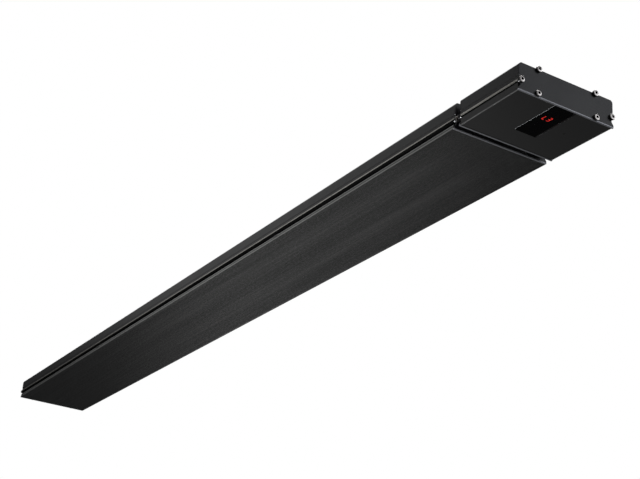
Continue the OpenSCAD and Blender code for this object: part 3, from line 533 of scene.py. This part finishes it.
class Shelf:
    """The finishes, each made once."""

    # The casings' coats carry a painted highlight on the bead's crest and painted shade in the hollow under it.
    casing = railed("casing_coat", painted_crest_highlight((0.60, 0.58, 0.53), 18.9, 22.0), painted_hollow_shade(18.5))
    short_casing = railed("short_casing_coat", painted_crest_highlight((0.62, 0.60, 0.55), 16.4, 20.6), painted_hollow_shade(16.2))
    # The cover's strip is a painted highlight along its lower side corners.
    cover = Finish("cover_coat", Pattern.POWDER, (0.008, 0.008, 0.0079), (0.028, 0.028, 0.0276), 0.46, grain=0.45,
                   depth=0.035, strips=(Strip((0.22, 0.22, 0.22), 93.5, -1.0, 1.9, share=0.8),))
    # The plate's edge colour and strip are painted highlights on its downward faces and along its bottom edge.
    plate = Finish("plate_coat", Pattern.POWDER, (0.008, 0.008, 0.0095), (0.020, 0.020, 0.0235), 0.38,
                   edge=(0.62, 0.63, 0.65),
                   strips=(Strip((0.55, 0.56, 0.60), -1.0, -1.0, 1.9, share=0.8, metal=0.55),))
    hanger = Finish("hanger_coat", Pattern.POWDER, (0.014, 0.014, 0.015), (0.040, 0.040, 0.042), 0.46, depth=0.04)
    spring = Finish("dark_spring_steel", Pattern.ROLLED, (0.05, 0.05, 0.052), (0.11, 0.11, 0.11), 0.4, 0.5)
    sheet = Finish("black_sheet", Pattern.ROLLED, (0.008, 0.008, 0.008), (0.02, 0.02, 0.02), 0.6)
    bright = Finish("bright_sheet", Pattern.ROLLED, (0.62, 0.62, 0.64), (0.84, 0.84, 0.85), 0.24, 1.0)
    fibre = Finish("ceramic_fibre", Pattern.FELTED, (0.72, 0.70, 0.64), (0.90, 0.89, 0.85), 0.95, depth=0.6)
    sheath = Finish("rod_sheath", Pattern.TEMPERED, (0.30, 0.27, 0.30), (0.52, 0.44, 0.33), 0.42, 0.9)
    ceramic = Finish("white_ceramic", Pattern.FIRED, (0.90, 0.89, 0.86), (0.74, 0.72, 0.68), 0.6, depth=0.03)
    brass = Finish("machined_brass", Pattern.TURNED, (0.78, 0.58, 0.24), (0.60, 0.42, 0.18), 0.28, 1.0)
    steel = Finish("bright_steel", Pattern.TURNED, (0.95, 0.91, 0.88), (0.78, 0.74, 0.71), 0.30, 1.0, depth=0.006)
    # Steel darkened as painted shade, for the screws that face the gap between heater and module.
    gap_shade_steel = Finish("gap_shade_steel", Pattern.TURNED, (0.46, 0.44, 0.41), (0.30, 0.29, 0.27), 0.38, 1.0, depth=0.01)
    # Black steel, also painted as shade into the domed screws' sockets and onto their head walls.
    black_steel = Finish("black_steel", Pattern.TURNED, (0.012, 0.012, 0.013), (0.025, 0.025, 0.026), 0.45, 0.5)
    zinc = Finish("zinc_steel", Pattern.TURNED, (0.74, 0.76, 0.78), (0.54, 0.57, 0.60), 0.28, 1.0, depth=0.01)
    digit = Finish("digit_plastic", Pattern.MOULDED, (0.006, 0.006, 0.006), (0.014, 0.014, 0.015), 0.4)
    board = Finish("circuit_board", Pattern.ETCHED, (0.012, 0.085, 0.035), (0.045, 0.19, 0.075), 0.32, coat=0.5)
    nylon = Finish("natural_nylon", Pattern.MOULDED, (0.82, 0.81, 0.76), (0.70, 0.69, 0.64), 0.45)
    epoxy = Finish("dark_epoxy", Pattern.MOULDED, (0.012, 0.008, 0.010), (0.030, 0.022, 0.026), 0.2, coat=0.6)
    lens = Finish("smoked_lens", Pattern.MOULDED, (0.020, 0.018, 0.017), (0.040, 0.036, 0.034), 0.25, coat=0.5)
    relay = Finish("relay_plastic", Pattern.MOULDED, (0.02, 0.05, 0.24), (0.035, 0.08, 0.32), 0.3, grain=0.6)
    iron = Finish("laminated_iron", Pattern.STACKED, (0.10, 0.10, 0.11), (0.28, 0.28, 0.29), 0.45, 0.7, depth=0.12)
    sleeve = Finish("capacitor_sleeve", Pattern.MOULDED, (0.012, 0.014, 0.05), (0.03, 0.033, 0.08), 0.3, coat=0.4)
    alloy = Finish("bare_aluminium", Pattern.DRAWN, (0.66, 0.67, 0.69), (0.82, 0.83, 0.84), 0.32, 1.0)
    ivory = Finish("terminal_plastic", Pattern.MOULDED, (0.82, 0.79, 0.68), (0.70, 0.67, 0.57), 0.5)
    gland = Finish("gland_plastic", Pattern.MOULDED, (0.018, 0.018, 0.019), (0.045, 0.045, 0.047), 0.42, depth=0.05)
    seal = Finish("seal_rubber", Pattern.MOULDED, (0.010, 0.010, 0.010), (0.024, 0.024, 0.024), 0.75, depth=0.04)
    nipple = Finish("nipple_coat", Pattern.POWDER, (0.006, 0.006, 0.006), (0.016, 0.016, 0.016), 0.5)
    braid = Finish("lead_sleeve", Pattern.BRAIDED, (0.62, 0.50, 0.33), (0.80, 0.71, 0.54), 0.8, depth=0.15)
    panel = RadiatingFinish()
    acrylic = SmokedAcrylic()
    bars = LitBars()

    _made: Dict[str, bpy.types.Material] = {}

    @classmethod
    def take(cls, finish: AnyFinish) -> bpy.types.Material:
        """The material of a finish, built when it is first asked for."""
        if finish.name not in cls._made:
            cls._made[finish.name] = finish.make()
        return cls._made[finish.name]


class Item(Enum):
    """What is picked in edit mode."""

    FACE = "FACE"
    EDGE = "EDGE"


class Cut(Enum):
    """How one solid changes another."""

    AWAY = "DIFFERENCE"
    SHARED = "INTERSECT"
    BOTH = "UNION"


class Bench:
    """Modelling steps that every sub-assembly shares."""

    merge_distance = 0.01 * MM
    flat_angle = math.radians(0.6)

    @staticmethod
    def only(*things: Thing) -> None:
        """Selects these objects alone, the first of them active."""
        bpy.ops.object.select_all(action="DESELECT")
        for thing in things:
            thing.select_set(True)
        if things:
            bpy.context.view_layer.objects.active = things[0]

    @staticmethod
    def settled(name: str) -> Thing:
        """Names the primitive just added and moves its place into its mesh."""
        thing = bpy.context.active_object
        thing.name = name
        Bench.only(thing)
        bpy.ops.object.transform_apply(location=True, rotation=True, scale=True)
        return thing

    @staticmethod
    def rod(name: str, radius: float, low: float, high: float, sides: int = 48,
            top: Optional[float] = None) -> Thing:
        """A round or many-sided rod up the Z axis between two heights, or a taper if its top has another radius."""
        Bench.only()
        place = (0.0, 0.0, (low + high) / 2)
        if top is None:
            bpy.ops.mesh.primitive_cylinder_add(vertices=sides, radius=radius, depth=high - low, location=place)
        else:
            bpy.ops.mesh.primitive_cone_add(
                vertices=sides, radius1=radius, radius2=top, depth=high - low, location=place)
        return Bench.settled(name)

    @staticmethod
    def block(name: str, low: Sequence[float], high: Sequence[float]) -> Thing:
        """A box between two corners."""
        Bench.only()
        middle = [(a + b) / 2 for a, b in zip(low, high)]
        bpy.ops.mesh.primitive_cube_add(size=1.0, location=middle, scale=[b - a for a, b in zip(low, high)])
        return Bench.settled(name)

    @staticmethod
    @contextmanager
    def shaping(thing: Thing) -> Iterator[None]:
        """Edit mode on one object, with nothing selected in it."""
        Bench.only(thing)
        bpy.ops.object.mode_set(mode="EDIT")
        bpy.ops.mesh.select_all(action="DESELECT")
        yield
        bpy.ops.object.mode_set(mode="OBJECT")

    @staticmethod
    def pick(thing: Thing, item: Item, test: Test) -> None:
        """Selects the faces or edges that pass a test, in edit mode.

        The test is told an item's middle, and a face's normal or an edge's direction.
        """
        bpy.ops.mesh.select_mode(type=item.value)
        mesh = bmesh.from_edit_mesh(thing.data)
        if item is Item.FACE:
            for face in mesh.faces:
                face.select = bool(test(face.calc_center_median(), face.normal))
        else:
            for edge in mesh.edges:
                a, b = (v.co for v in edge.verts)
                edge.select = bool(test((a + b) / 2, (b - a).normalized()))
        mesh.select_flush(True)
        bmesh.update_edit_mesh(thing.data)

    @staticmethod
    def chamfer(thing: Thing, width: float, steps: int = 2, angle: float = 35.0) -> None:
        """Rounds every edge sharper than an angle, in degrees."""
        Bench.only(thing)
        bpy.ops.object.shade_smooth_by_angle(angle=math.radians(angle))
        edge = thing.modifiers.new("Edges", "BEVEL")
        edge.width = width
        edge.segments = steps
        edge.limit_method = "ANGLE"
        edge.angle_limit = math.radians(angle)
        edge.harden_normals = True
        bpy.ops.object.modifier_apply(modifier=edge.name)

    @staticmethod
    def carve(thing: Thing, tool: Thing, way: Cut = Cut.AWAY) -> None:
        """Cuts a tool out of an object, keeps what they share or adds it, and takes the tool away."""
        Bench.only(thing)
        cut = thing.modifiers.new("Cut", "BOOLEAN")
        cut.operation = way.value
        cut.object = tool
        cut.solver = "EXACT"
        bpy.ops.object.modifier_apply(modifier=cut.name)
        bpy.data.objects.remove(tool)

    @staticmethod
    def copied(thing: Thing, name: str, move: Matrix) -> Thing:
        """A copy with a mesh of its own, moved within its mesh."""
        twin = bpy.data.objects.new(name, thing.data.copy())
        bpy.context.scene.collection.objects.link(twin)
        twin.data.transform(move)
        return twin

    @staticmethod
    def fused(things: List[Thing], name: str) -> Thing:
        """Joins pieces into one object of that name."""
        Bench.only(*things)
        if len(things) > 1:
            bpy.ops.object.join()
        things[0].name = name
        return things[0]

    @staticmethod
    def set_out(places: Sequence[Tuple[Thing, Matrix]], name: str) -> Thing:
        """Puts a copy of a model at each place, takes the models away and joins the copies."""
        row = [Bench.copied(model, model.name, move) for model, move in places]
        for model in {model for model, _ in places}:
            bpy.data.objects.remove(model)
        return Bench.fused(row, name)

    @staticmethod
    def smoothed(thing: Thing, angle: float = 32.0) -> None:
        """Shades smooth across every edge flatter than an angle, in degrees."""
        Bench.only(thing)
        bpy.ops.object.shade_smooth_by_angle(angle=math.radians(angle))

    @staticmethod
    def softened(node: str, width: float, steps: int) -> Thing:
        """A copy of a CAD node's solid, its sharp edges rounded over a width by so many facets."""
        twin = Bench.copied(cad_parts[node], node + "_piece", Matrix.Identity(4))
        twin.data.materials.clear()
        with Bench.shaping(twin):
            bpy.ops.mesh.select_all(action="SELECT")
            bpy.ops.mesh.remove_doubles(threshold=Bench.merge_distance)
            bpy.ops.mesh.dissolve_limited(angle_limit=Bench.flat_angle)
            bpy.ops.mesh.normals_make_consistent(inside=False)
        Bench.chamfer(twin, width, steps)
        return twin


class SubAssembly:
    """Base of the sub-assemblies: dressing pieces and putting them on their bodies."""

    body = "heater"

    def dress(self, finish: AnyFinish, *nodes: str) -> None:
        """Gives CAD nodes a finish."""
        for node in nodes:
            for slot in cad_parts[node].material_slots:
                slot.material = Shelf.take(finish)
            LOG.info("dressed %s in %s", node, finish.name)

    def stand_for(self, piece: Thing, finish: AnyFinish, slot: str, *nodes: str,
                  body: Optional[str] = None, marked: Optional[AnyFinish] = None) -> None:
        """Dresses a new piece, puts it on its body and lets it stand for CAD nodes.

        The slot is not used. The body is the sub-assembly's own unless another is given. Marked is the finish of
        the faces that the piece has marked for it.
        """
        marks = [face.material_index for face in piece.data.polygons]
        piece.data.materials.clear()
        piece.data.materials.append(Shelf.take(finish))
        if marked:
            piece.data.materials.append(Shelf.take(marked))
            piece.data.polygons.foreach_set("material_index", marks)
        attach(piece, body or self.body)
        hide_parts(*nodes)
        LOG.info("made %s for %s, %d faces", piece.name, ", ".join(nodes), len(piece.data.polygons))

    def soften(self, node: str, finish: AnyFinish, slot: str, rim: float, steps: int = 2,
               body: Optional[str] = None) -> None:
        """Lets a softened copy of a CAD node's own solid stand for it."""
        self.stand_for(Bench.softened(node, rim, steps), finish, slot, node, body=body)


@dataclass
class EndScrews(SubAssembly):
    """Domed screws with hexagon sockets that hold the four end plates."""

    head_radius: float = 5.1 * MM
    head_height: float = 4.35 * MM
    head_sides: int = 64
    dome_radius: float = 20.0 * MM
    dome_rings: int = 96
    socket_flats: float = 4.0 * MM
    socket_depth: float = 3.4 * MM
    socket_play: float = 1.02
    shank_radius: float = 2.45 * MM
    shank_length: float = 16.0 * MM
    shank_sides: int = 24
    tip: float = 0.3
    rim: float = 0.35 * MM
    wall_slope: float = 0.5
    turn: float = 23.0
    heater_ends: Tuple[float, float] = (-1.11, 0.952)
    module_ends: Tuple[float, float] = (0.964, 1.11)
    gap_count: int = 4
    seats: Tuple[Tuple[float, float], ...] = (
        (91.7, 18.0), (57.5, 48.4), (-91.7, 18.0), (-57.5, 48.4), (58.7, 5.6), (-58.7, 5.6))

    def head(self, socket: float) -> Thing:
        """The domed head, turned off at its rim and sunk round a socket of that radius to its corners."""
        height, rim = self.head_height, self.rim
        Bench.only()
        bpy.ops.mesh.primitive_uv_sphere_add(
            segments=self.head_sides, ring_count=self.dome_rings, radius=self.dome_radius,
            location=(0.0, 0.0, height - self.dome_radius))
        head = Bench.settled("screw_head")
        Bench.carve(head, Bench.rod("blank", self.head_radius, 0.0, height * 2, self.head_sides), Cut.SHARED)
        top = height + rim
        rise = self.dome_radius - math.sqrt(self.dome_radius ** 2 - self.head_radius ** 2)
        wide = self.head_radius + height - rise - rim
        Bench.carve(head, Bench.rod("rim_lathe", wide, 0.0, top, self.head_sides, wide - top), Cut.SHARED)
        Bench.carve(head, Bench.rod("socket", socket, height - self.socket_depth, height * 2, 6))
        Bench.carve(head, Bench.rod("sink", socket - rim, height - rim, top, top=socket + rim))
        return head

    def model(self) -> Thing:
        """One screw up the Z axis, its seat at the origin, with its walls and socket marked for painted shade."""
        socket = self.socket_flats / 2 / math.cos(HEXAGON)
        head = self.head(socket)
        shank = Bench.rod("shank", self.shank_radius, -self.shank_length, self.head_height / 4, self.shank_sides)
        with Bench.shaping(shank):
            Bench.pick(shank, Item.FACE, lambda at, way: way.z < -STEEP)
            bpy.ops.mesh.inset(thickness=self.shank_radius * self.tip, depth=self.shank_radius * self.tip)
        screw = Bench.fused([head, shank], "end_screw")
        Bench.smoothed(screw)
        # The socket faces and the head's walls take black steel as painted shade.
        for finish in (Shelf.steel, Shelf.black_steel):
            screw.data.materials.append(Shelf.take(finish))
        for face in screw.data.polygons:
            middle = face.center
            inside = math.hypot(middle.x, middle.y) < socket * self.socket_play
            beside = abs(face.normal.z) < self.wall_slope
            face.material_index = int((inside or beside) and 0.0 < middle.z < self.head_height - self.rim / 10)
        return screw

    def build(self) -> None:
        """Sets the screws into the end plates: four domed ones beside the gap, and six at each outer end."""
        screw = self.model()
        # The screws facing the gap take steel darkened as painted shade.
        places = {
            "heater_near_end_screws": (self.heater_ends[1], 1.0, self.gap_count, Shelf.gap_shade_steel),
            "heater_far_end_screws": (self.heater_ends[0], -1.0, len(self.seats), Shelf.steel),
            "module_inner_end_screws": (self.module_ends[0], -1.0, self.gap_count, Shelf.gap_shade_steel),
            "module_outer_end_screws": (self.module_ends[1], 1.0, len(self.seats), Shelf.steel),
        }
        for node, (x, way, count, finish) in places.items():
            lean = Matrix.Rotation(QUARTER * way, 4, "Y")
            row = []
            for i, (y, z) in enumerate(self.seats[:count]):
                turn = Matrix.Rotation(math.radians(self.turn * i), 4, "Z")
                row.append(Bench.copied(screw, node, Matrix.Translation((x, y * MM, z * MM)) @ lean @ turn))
            piece = Bench.fused(row, node + "_piece")
            self.stand_for(piece, finish, "bright_steel", node, marked=Shelf.black_steel)
        bpy.data.objects.remove(screw)
        self.soften("gap_flush_screws", Shelf.black_steel, "black_steel", self.rim / 2)


@dataclass
class EndPlates(SubAssembly):
    """The four end plates, with the soft edges that the coat gives them."""

    rim: float = 0.35 * MM

    def build(self) -> None:
        """Makes the plates."""
        for node in ("heater_near_end_plate", "heater_far_end_plate", "module_inner_end_plate",
                     "module_outer_end_plate"):
            self.soften(node, Shelf.plate, "plate_coat", self.rim)


@dataclass
class HeaterBox(SubAssembly):
    """Casing, radiating panel, clips and all that lies inside the heater."""

    clip_rim: float = 0.12 * MM

    def build(self) -> None:
        """Dresses the heater."""
        for finish, *nodes in (
                (Shelf.casing, "heater_back_casing"), (Shelf.panel, "radiating_panel"), (Shelf.sheet, "side_baffles"),
                (Shelf.bright, "reflector_sheet", "rod_clips"), (Shelf.fibre, "insulation_blanket"),
                (Shelf.sheath, "heating_rods"), (Shelf.ceramic, "rod_bushes", "ceramic_block", "thermal_cutout"),
                (Shelf.brass, "link_straps"), (Shelf.braid, "heater_leads")):
            self.dress(finish, *nodes)
        self.soften("lip_clips", Shelf.spring, "dark_spring_steel", self.clip_rim)


@dataclass
class ControlBox(SubAssembly):
    """Casing, face cover, window and electronics of the control module."""

    cover_rim: float = 0.25 * MM
    window_rim: float = 0.35 * MM
    flange: float = 3.0 * MM
    flange_t: float = 1.6 * MM
    gap: float = 0.3 * MM
    seam: float = 0.1 * MM
    can_radius: float = 5.0 * MM
    can_sides: int = 40
    curl: float = 0.18
    curl_step: float = 0.2 * MM
    curl_depth: float = 0.35 * MM
    shoulder: float = 0.4 * MM
    vent: Triple = (6.0 * MM, 0.3 * MM, 0.5 * MM)
    cans: Tuple[Tuple[float, float], ...] = ((1.04304, -0.02006), (1.04304, -0.03406), (1.08504, 0.02996))

    def window(self) -> Thing:
        """The window: a polished pad on a thin flange."""
        low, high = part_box("display_window")
        back = high.z - self.seam
        pad_low = (low.x + self.flange + self.gap, low.y + self.flange + self.gap, low.z)
        pad = Bench.block("pad", pad_low, (high.x, high.y - self.flange - self.gap, back))
        with Bench.shaping(pad):
            Bench.pick(pad, Item.EDGE, lambda at, way: at.z < low.z + Bench.merge_distance or abs(way.z) > STEEP)
            bpy.ops.mesh.bevel(offset=self.window_rim, segments=1, affect="EDGES")
        flange = Bench.block("flange", (low.x, low.y, high.z - self.flange_t), (high.x, high.y, back))
        with Bench.shaping(flange):
            Bench.pick(flange, Item.EDGE, lambda at, way: abs(way.z) > STEEP)
            bpy.ops.mesh.bevel(offset=self.window_rim * 2, segments=4, affect="EDGES")
        Bench.carve(pad, flange, Cut.BOTH)
        Bench.smoothed(pad)
        pad.name = "display_window_piece"
        return pad

    def capacitors(self) -> Thing:
        """Capacitor cans with rolled shoulders and vented tops, where the CAD cans are."""
        low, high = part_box("capacitors")
        radius = self.can_radius
        can = Bench.rod("can", radius, low.z, high.z, self.can_sides)
        with Bench.shaping(can):
            Bench.pick(can, Item.FACE, lambda at, way: way.z < -STEEP)
            bpy.ops.mesh.inset(thickness=radius * self.curl, depth=0.0)
            bpy.ops.mesh.inset(thickness=self.curl_step, depth=-self.curl_depth)
        Bench.chamfer(can, self.shoulder, 3)
        length, width, depth = self.vent
        score = Bench.block("score", (-length / 2, -width / 2, low.z - MM), (length / 2, width / 2, low.z + depth))
        Bench.carve(can, score)
        Bench.smoothed(can)
        return Bench.set_out([(can, Matrix.Translation((x, y, 0.0))) for x, y in self.cans], "capacitors_piece")

    def build(self) -> None:
        """Dresses the module and makes its own pieces."""
        for finish, *nodes in (
                (Shelf.short_casing, "module_back_casing"), (Shelf.bars, "digit_segments"),
                (Shelf.digit, "digit_block"), (Shelf.board, "display_board", "power_board"),
                (Shelf.nylon, "board_pillars"), (Shelf.steel, "board_screws", "power_board_fixings", "joining_bolts"),
                (Shelf.epoxy, "infrared_receiver"), (Shelf.lens, "indicator_light"), (Shelf.brass, "earth_stud"),
                (Shelf.nipple, "joining_nipple", "nipple_locknuts", "spacer_sleeves")):
            self.dress(finish, *nodes)
        self.soften("face_cover", Shelf.cover, "cover_coat", self.cover_rim)
        self.stand_for(self.window(), Shelf.acrylic, "window_plastic", "display_window")
        for node, finish, slot, rim in (
                ("relays", Shelf.relay, "relay_plastic", 0.5), ("transformer", Shelf.iron, "transformer_iron", 0.3),
                ("heat_sink", Shelf.alloy, "bare_aluminium", 0.2),
                ("mains_terminal_block", Shelf.ivory, "terminal_plastic", 0.4)):
            self.soften(node, finish, slot, rim * MM)
        self.stand_for(self.capacitors(), Shelf.sleeve, "capacitor_sleeve", "capacitors")


@dataclass
class CableGland(SubAssembly):
    """Gland on the back of the control module."""

    rim: float = 0.45 * MM

    def build(self) -> None:
        """Makes the gland's pieces."""
        for node in ("gland_body", "gland_dome_nut", "gland_locknut"):
            self.soften(node, Shelf.gland, "gland_plastic", self.rim)
        self.soften("gland_seal", Shelf.seal, "seal_rubber", self.rim)


class Side(Enum):
    """Which of the two hangers one is."""

    FAR = "far"
    NEAR = "near"


@dataclass
class Hanger(SubAssembly):
    """One hanger: its sliding foot, tilting yoke and fasteners."""

    side: Side = Side.FAR
    x: float = -0.679
    rail_y: float = 30.0 * MM
    seat_z: float = 53.6 * MM
    pivot_z: float = 72.0 * MM
    lock_z: float = 86.0 * MM
    ear_out: float = 29.8 * MM
    ear_in: float = 23.45 * MM
    flats: float = 10.0 * MM
    head_t: float = 4.0 * MM
    nut_t: float = 5.0 * MM
    bolt_r: float = 3.0 * MM
    bolt_sides: int = 32
    lathe_sides: int = 64
    spanner_turns: Triple = (0.4, 0.3, 0.9)
    washer_r: float = 6.2 * MM
    washer_t: float = 1.6 * MM
    foot_bolt: float = 12.7 * MM
    ear_bolt: float = 12.8 * MM
    turned: float = 0.93
    corner: float = 0.12 * MM
    thread_rim: float = 0.35 * MM
    washer_rim: float = 0.25 * MM
    bore_play: float = 0.02 * MM
    washer_play: float = 0.1 * MM
    plate_rim: float = 0.5 * MM
    slide_nut_rim: float = 0.4 * MM

    def hexagon(self, name: str, low: float, high: float, both: bool) -> Thing:
        """A hexagon between two heights, its corners turned off at the top or at both ends."""
        piece = Bench.rod(name, self.flats / 2 / math.cos(HEXAGON), low, high, 6)
        face = self.flats / 2 * self.turned
        slope = (high - low) * math.sqrt(3.0)
        Bench.carve(piece, Bench.rod("lathe", face + slope, low, high, self.lathe_sides, face), Cut.SHARED)
        if both:
            Bench.carve(piece, Bench.rod("lathe", face, low, high, self.lathe_sides, face + slope), Cut.SHARED)
        return piece

    def bolt(self, length: float) -> Thing:
        """A hexagon bolt up the Z axis, its seat at the origin and its shank's tip turned off."""
        head = self.hexagon("head", 0.0, self.head_t, False)
        Bench.chamfer(head, self.corner, 2, 25.0)
        shank = Bench.rod("shank", self.bolt_r, -length, self.head_t / 2, self.bolt_sides)
        with Bench.shaping(shank):
            Bench.pick(shank, Item.FACE, lambda at, way: way.z < -STEEP)
            bpy.ops.mesh.inset(thickness=self.bolt_r * 0.2, depth=0.0)
        Bench.chamfer(shank, self.thread_rim, 1, 60.0)
        bolt = Bench.fused([head, shank], "bolt")
        Bench.smoothed(bolt)
        return bolt

    def nut(self) -> Thing:
        """A hexagon nut down from the origin, bored and turned at both ends."""
        piece = self.hexagon("nut", -self.nut_t, 0.0, True)
        Bench.carve(piece, Bench.rod("bore", self.bolt_r + self.bore_play, -self.nut_t - MM, MM, self.bolt_sides))
        Bench.chamfer(piece, self.corner, 2, 25.0)
        Bench.smoothed(piece)
        return piece

    def washer(self) -> Thing:
        """A flat washer down from the origin."""
        piece = Bench.rod("washer", self.washer_r, -self.washer_t, 0.0)
        Bench.carve(piece, Bench.rod("bore", self.bolt_r + self.washer_play, -self.washer_t - MM, MM, self.bolt_sides))
        Bench.chamfer(piece, self.washer_rim, 2, 50.0)
        Bench.smoothed(piece)
        return piece

    def foot_bolts(self) -> Thing:
        """The two foot bolts with their washers."""
        bolt, washer = self.bolt(self.foot_bolt), self.washer()
        places = []
        for i, y in enumerate((-self.rail_y, self.rail_y)):
            seat = Matrix.Translation((self.x, y, self.seat_z))
            places += (bolt, seat @ Matrix.Rotation(self.spanner_turns[0] + i, 4, "Z")), (washer, seat)
        return Bench.set_out(places, f"{self.side.value}_hanger_foot_bolts_piece")

    def ear_bolts(self, z: float, name: str) -> Thing:
        """A bolt and nut through each pair of ears at a height."""
        bolt, nut = self.bolt(self.ear_bolt), self.nut()
        places = []
        for way in (1.0, -1.0):
            lean = Matrix.Rotation(QUARTER * way, 4, "Y")
            for model, reach, turn in (
                    (bolt, self.ear_out, self.spanner_turns[1] + way), (nut, self.ear_in, self.spanner_turns[2] * way)):
                seat = Matrix.Translation((self.x + reach * way, 0.0, z)) @ lean
                places.append((model, seat @ Matrix.Rotation(turn, 4, "Z")))
        return Bench.set_out(places, name)

    def build(self) -> None:
        """Makes the hanger."""
        slider, yoke = f"{self.side.value}_slider", f"{self.side.value}_yoke"
        name = f"{self.side.value}_hanger_"
        for part, finish, slot, body, rim, steps in (
                ("foot", Shelf.hanger, "hanger_coat", slider, self.plate_rim, 3),
                ("yoke", Shelf.hanger, "hanger_coat", yoke, self.plate_rim, 3),
                ("slide_nuts", Shelf.zinc, "zinc_steel", slider, self.slide_nut_rim, 2)):
            self.soften(name + part, finish, slot, rim, steps, body)
        self.stand_for(self.foot_bolts(), Shelf.zinc, "zinc_steel", name + "foot_bolts", body=slider)
        for part, z, body in (("pivot_bolts", self.pivot_z, slider), ("lock_bolts", self.lock_z, yoke)):
            bolts = self.ear_bolts(z, name + part + "_piece")
            self.stand_for(bolts, Shelf.zinc, "zinc_steel", name + part, body=body)


@dataclass(frozen=True)
class Softbox:
    """One soft lamp of the studio."""

    name: str
    at: Triple
    to: Triple
    width: float
    height: float
    power: float
    tint: Colour = (1.0, 1.0, 1.0)


@dataclass
class Studio:
    """Pale floor, soft lamps and the camera."""

    floor_z: float = -1.9
    floor_half: float = 9.0
    floor_cells: int = 8
    floor_rough: float = 0.85
    floor_glow: float = 0.6
    floor_paint: Tuple[Colour, Colour] = ((0.80, 0.80, 0.79), (0.86, 0.86, 0.86))
    white: Colour = (1.0, 1.0, 1.0)
    sky_tint: Colour = (0.98, 0.99, 1.0)
    ambient: float = 0.085
    eye: Triple = (2.3901, -1.1555, -0.9866)
    right: Triple = (0.524514, 0.848419, 0.071200)
    down: Triple = (-0.307223, 0.266597, -0.913532)
    ahead: Triple = (-0.794040, 0.457286, 0.400488)
    focal_px: float = 1264.5
    frame_px: float = 640.0
    sensor: float = 36.0
    reach: float = 60.0
    lamps: Tuple[Softbox, ...] = (
        Softbox("over", (-0.45, -0.10, 1.00), (-0.10, -0.05, 0.0), 1.7, 0.6, 1.7),
        Softbox("left", (-1.2, -0.95, 0.65), (0.1, 0.0, 0.0), 0.9, 0.9, 1.3),
        Softbox("under", (-1.0, 0.85, -0.70), (0.3, 0.0, 0.0), 0.9, 0.9, 1.15),
        Softbox("high", (1.3, -1.0, 2.1), (-0.1, 0.0, 0.05), 1.6, 1.2, 14.0),
        Softbox("under_far", (-1.35, 0.6, -0.58), (-0.5, 0.0, 0.0), 0.5, 0.5, 0.32),
        Softbox("corner", (0.1, -0.85, -0.75), (0.9, -0.1, 0.0), 0.9, 0.25, 9.0),
        Softbox("end", (2.6, 1.5, 0.85), (1.1, 0.0, 0.0), 1.7, 1.5, 7.5, (0.93, 0.95, 1.0)),
        Softbox("front", (1.2, -3.0, 1.6), (0.2, 0.0, 0.0), 2.6, 1.6, 1.5),
        Softbox("back", (-0.3, 3.0, 1.3), (0.0, 0.0, 0.05), 3.0, 1.0, 60.0),
        Softbox("far", (-3.2, 0.9, 1.2), (-0.5, 0.0, 0.05), 1.4, 1.0, 25.0),
        Softbox("top", (0.0, 0.9, 2.6), (0.0, 0.0, 0.05), 2.4, 1.0, 40.0),
    )

    def floor(self) -> None:
        """Lays the floor, with a slight unevenness in its colour."""
        Bench.only()
        bpy.ops.mesh.primitive_grid_add(
            x_subdivisions=self.floor_cells, y_subdivisions=self.floor_cells, size=2 * self.floor_half,
            location=(0.0, 0.0, self.floor_z))
        ground = Bench.settled("floor")
        graph = Graph("floor_paint")
        tone = graph.noise(even(0.6), 3.0)
        paint = graph.mix(tone, *self.floor_paint)
        ground.data.materials.append(graph.shade({
            "Base Color": paint, "Roughness": self.floor_rough, "Emission Color": paint,
            "Emission Strength": self.floor_glow}))
        ground.visible_glossy = False
        ground.visible_diffuse = False

    def sky(self) -> None:
        """Surrounds the scene with plain white, dimmer as light than it looks."""
        world = bpy.data.worlds.new("studio_white")
        bpy.context.scene.world = world
        world.use_nodes = True
        tree = world.node_tree
        tree.nodes.clear()
        ray, lit, seen, mix, out = (
            tree.nodes.new("ShaderNode" + kind)
            for kind in ("LightPath", "Background", "Background", "MixShader", "OutputWorld"))
        lit.inputs["Color"].default_value = (*self.sky_tint, 1.0)
        lit.inputs["Strength"].default_value = self.ambient
        seen.inputs["Color"].default_value = (*self.white, 1.0)
        tree.links.new(ray.outputs["Is Camera Ray"], mix.inputs[0])
        tree.links.new(lit.outputs[0], mix.inputs[1])
        tree.links.new(seen.outputs[0], mix.inputs[2])
        tree.links.new(mix.outputs[0], out.inputs[0])

    def lights(self) -> None:
        """Hangs the soft lamps."""
        for lamp in self.lamps:
            data = bpy.data.lights.new(lamp.name, "AREA")
            data.shape = "RECTANGLE"
            data.size, data.size_y = lamp.width, lamp.height
            data.energy = lamp.power
            data.color = lamp.tint
            thing = bpy.data.objects.new(lamp.name, data)
            bpy.context.scene.collection.objects.link(thing)
            way = Vector(lamp.to) - Vector(lamp.at)
            thing.matrix_world = Matrix.Translation(lamp.at) @ way.to_track_quat("-Z", "Y").to_matrix().to_4x4()
            thing.visible_camera = False

    def camera(self) -> None:
        """Sets the camera where the photograph was taken from."""
        data = bpy.data.cameras.new("camera")
        data.sensor_width = self.sensor
        data.lens = self.focal_px / self.frame_px * self.sensor
        data.clip_end = self.reach
        thing = bpy.data.objects.new("camera", data)
        bpy.context.scene.collection.objects.link(thing)
        turn = Matrix((self.right, [-v for v in self.down], [-v for v in self.ahead])).transposed()
        thing.matrix_world = Matrix.Translation(self.eye) @ turn.to_4x4()
        bpy.context.scene.camera = thing

    def build(self) -> None:
        """Builds the studio."""
        self.floor()
        self.sky()
        self.lights()
        self.camera()
        settings = bpy.context.scene.view_settings
        settings.view_transform = "Standard"
        settings.look = "None"
        LOG.info("studio with %d lamps", len(self.lamps))


def main() -> None:
    """Builds the sub-assemblies in order, then the studio."""
    logging.basicConfig(level=logging.INFO, format="%(message)s")
    Studio().build()
    HeaterBox().build()
    EndPlates().build()
    EndScrews().build()
    ControlBox().build()
    CableGland().build()
    Hanger(side=Side.FAR, x=-0.679).build()
    Hanger(side=Side.NEAR, x=0.521).build()


if __name__ == "__main__":
    main()
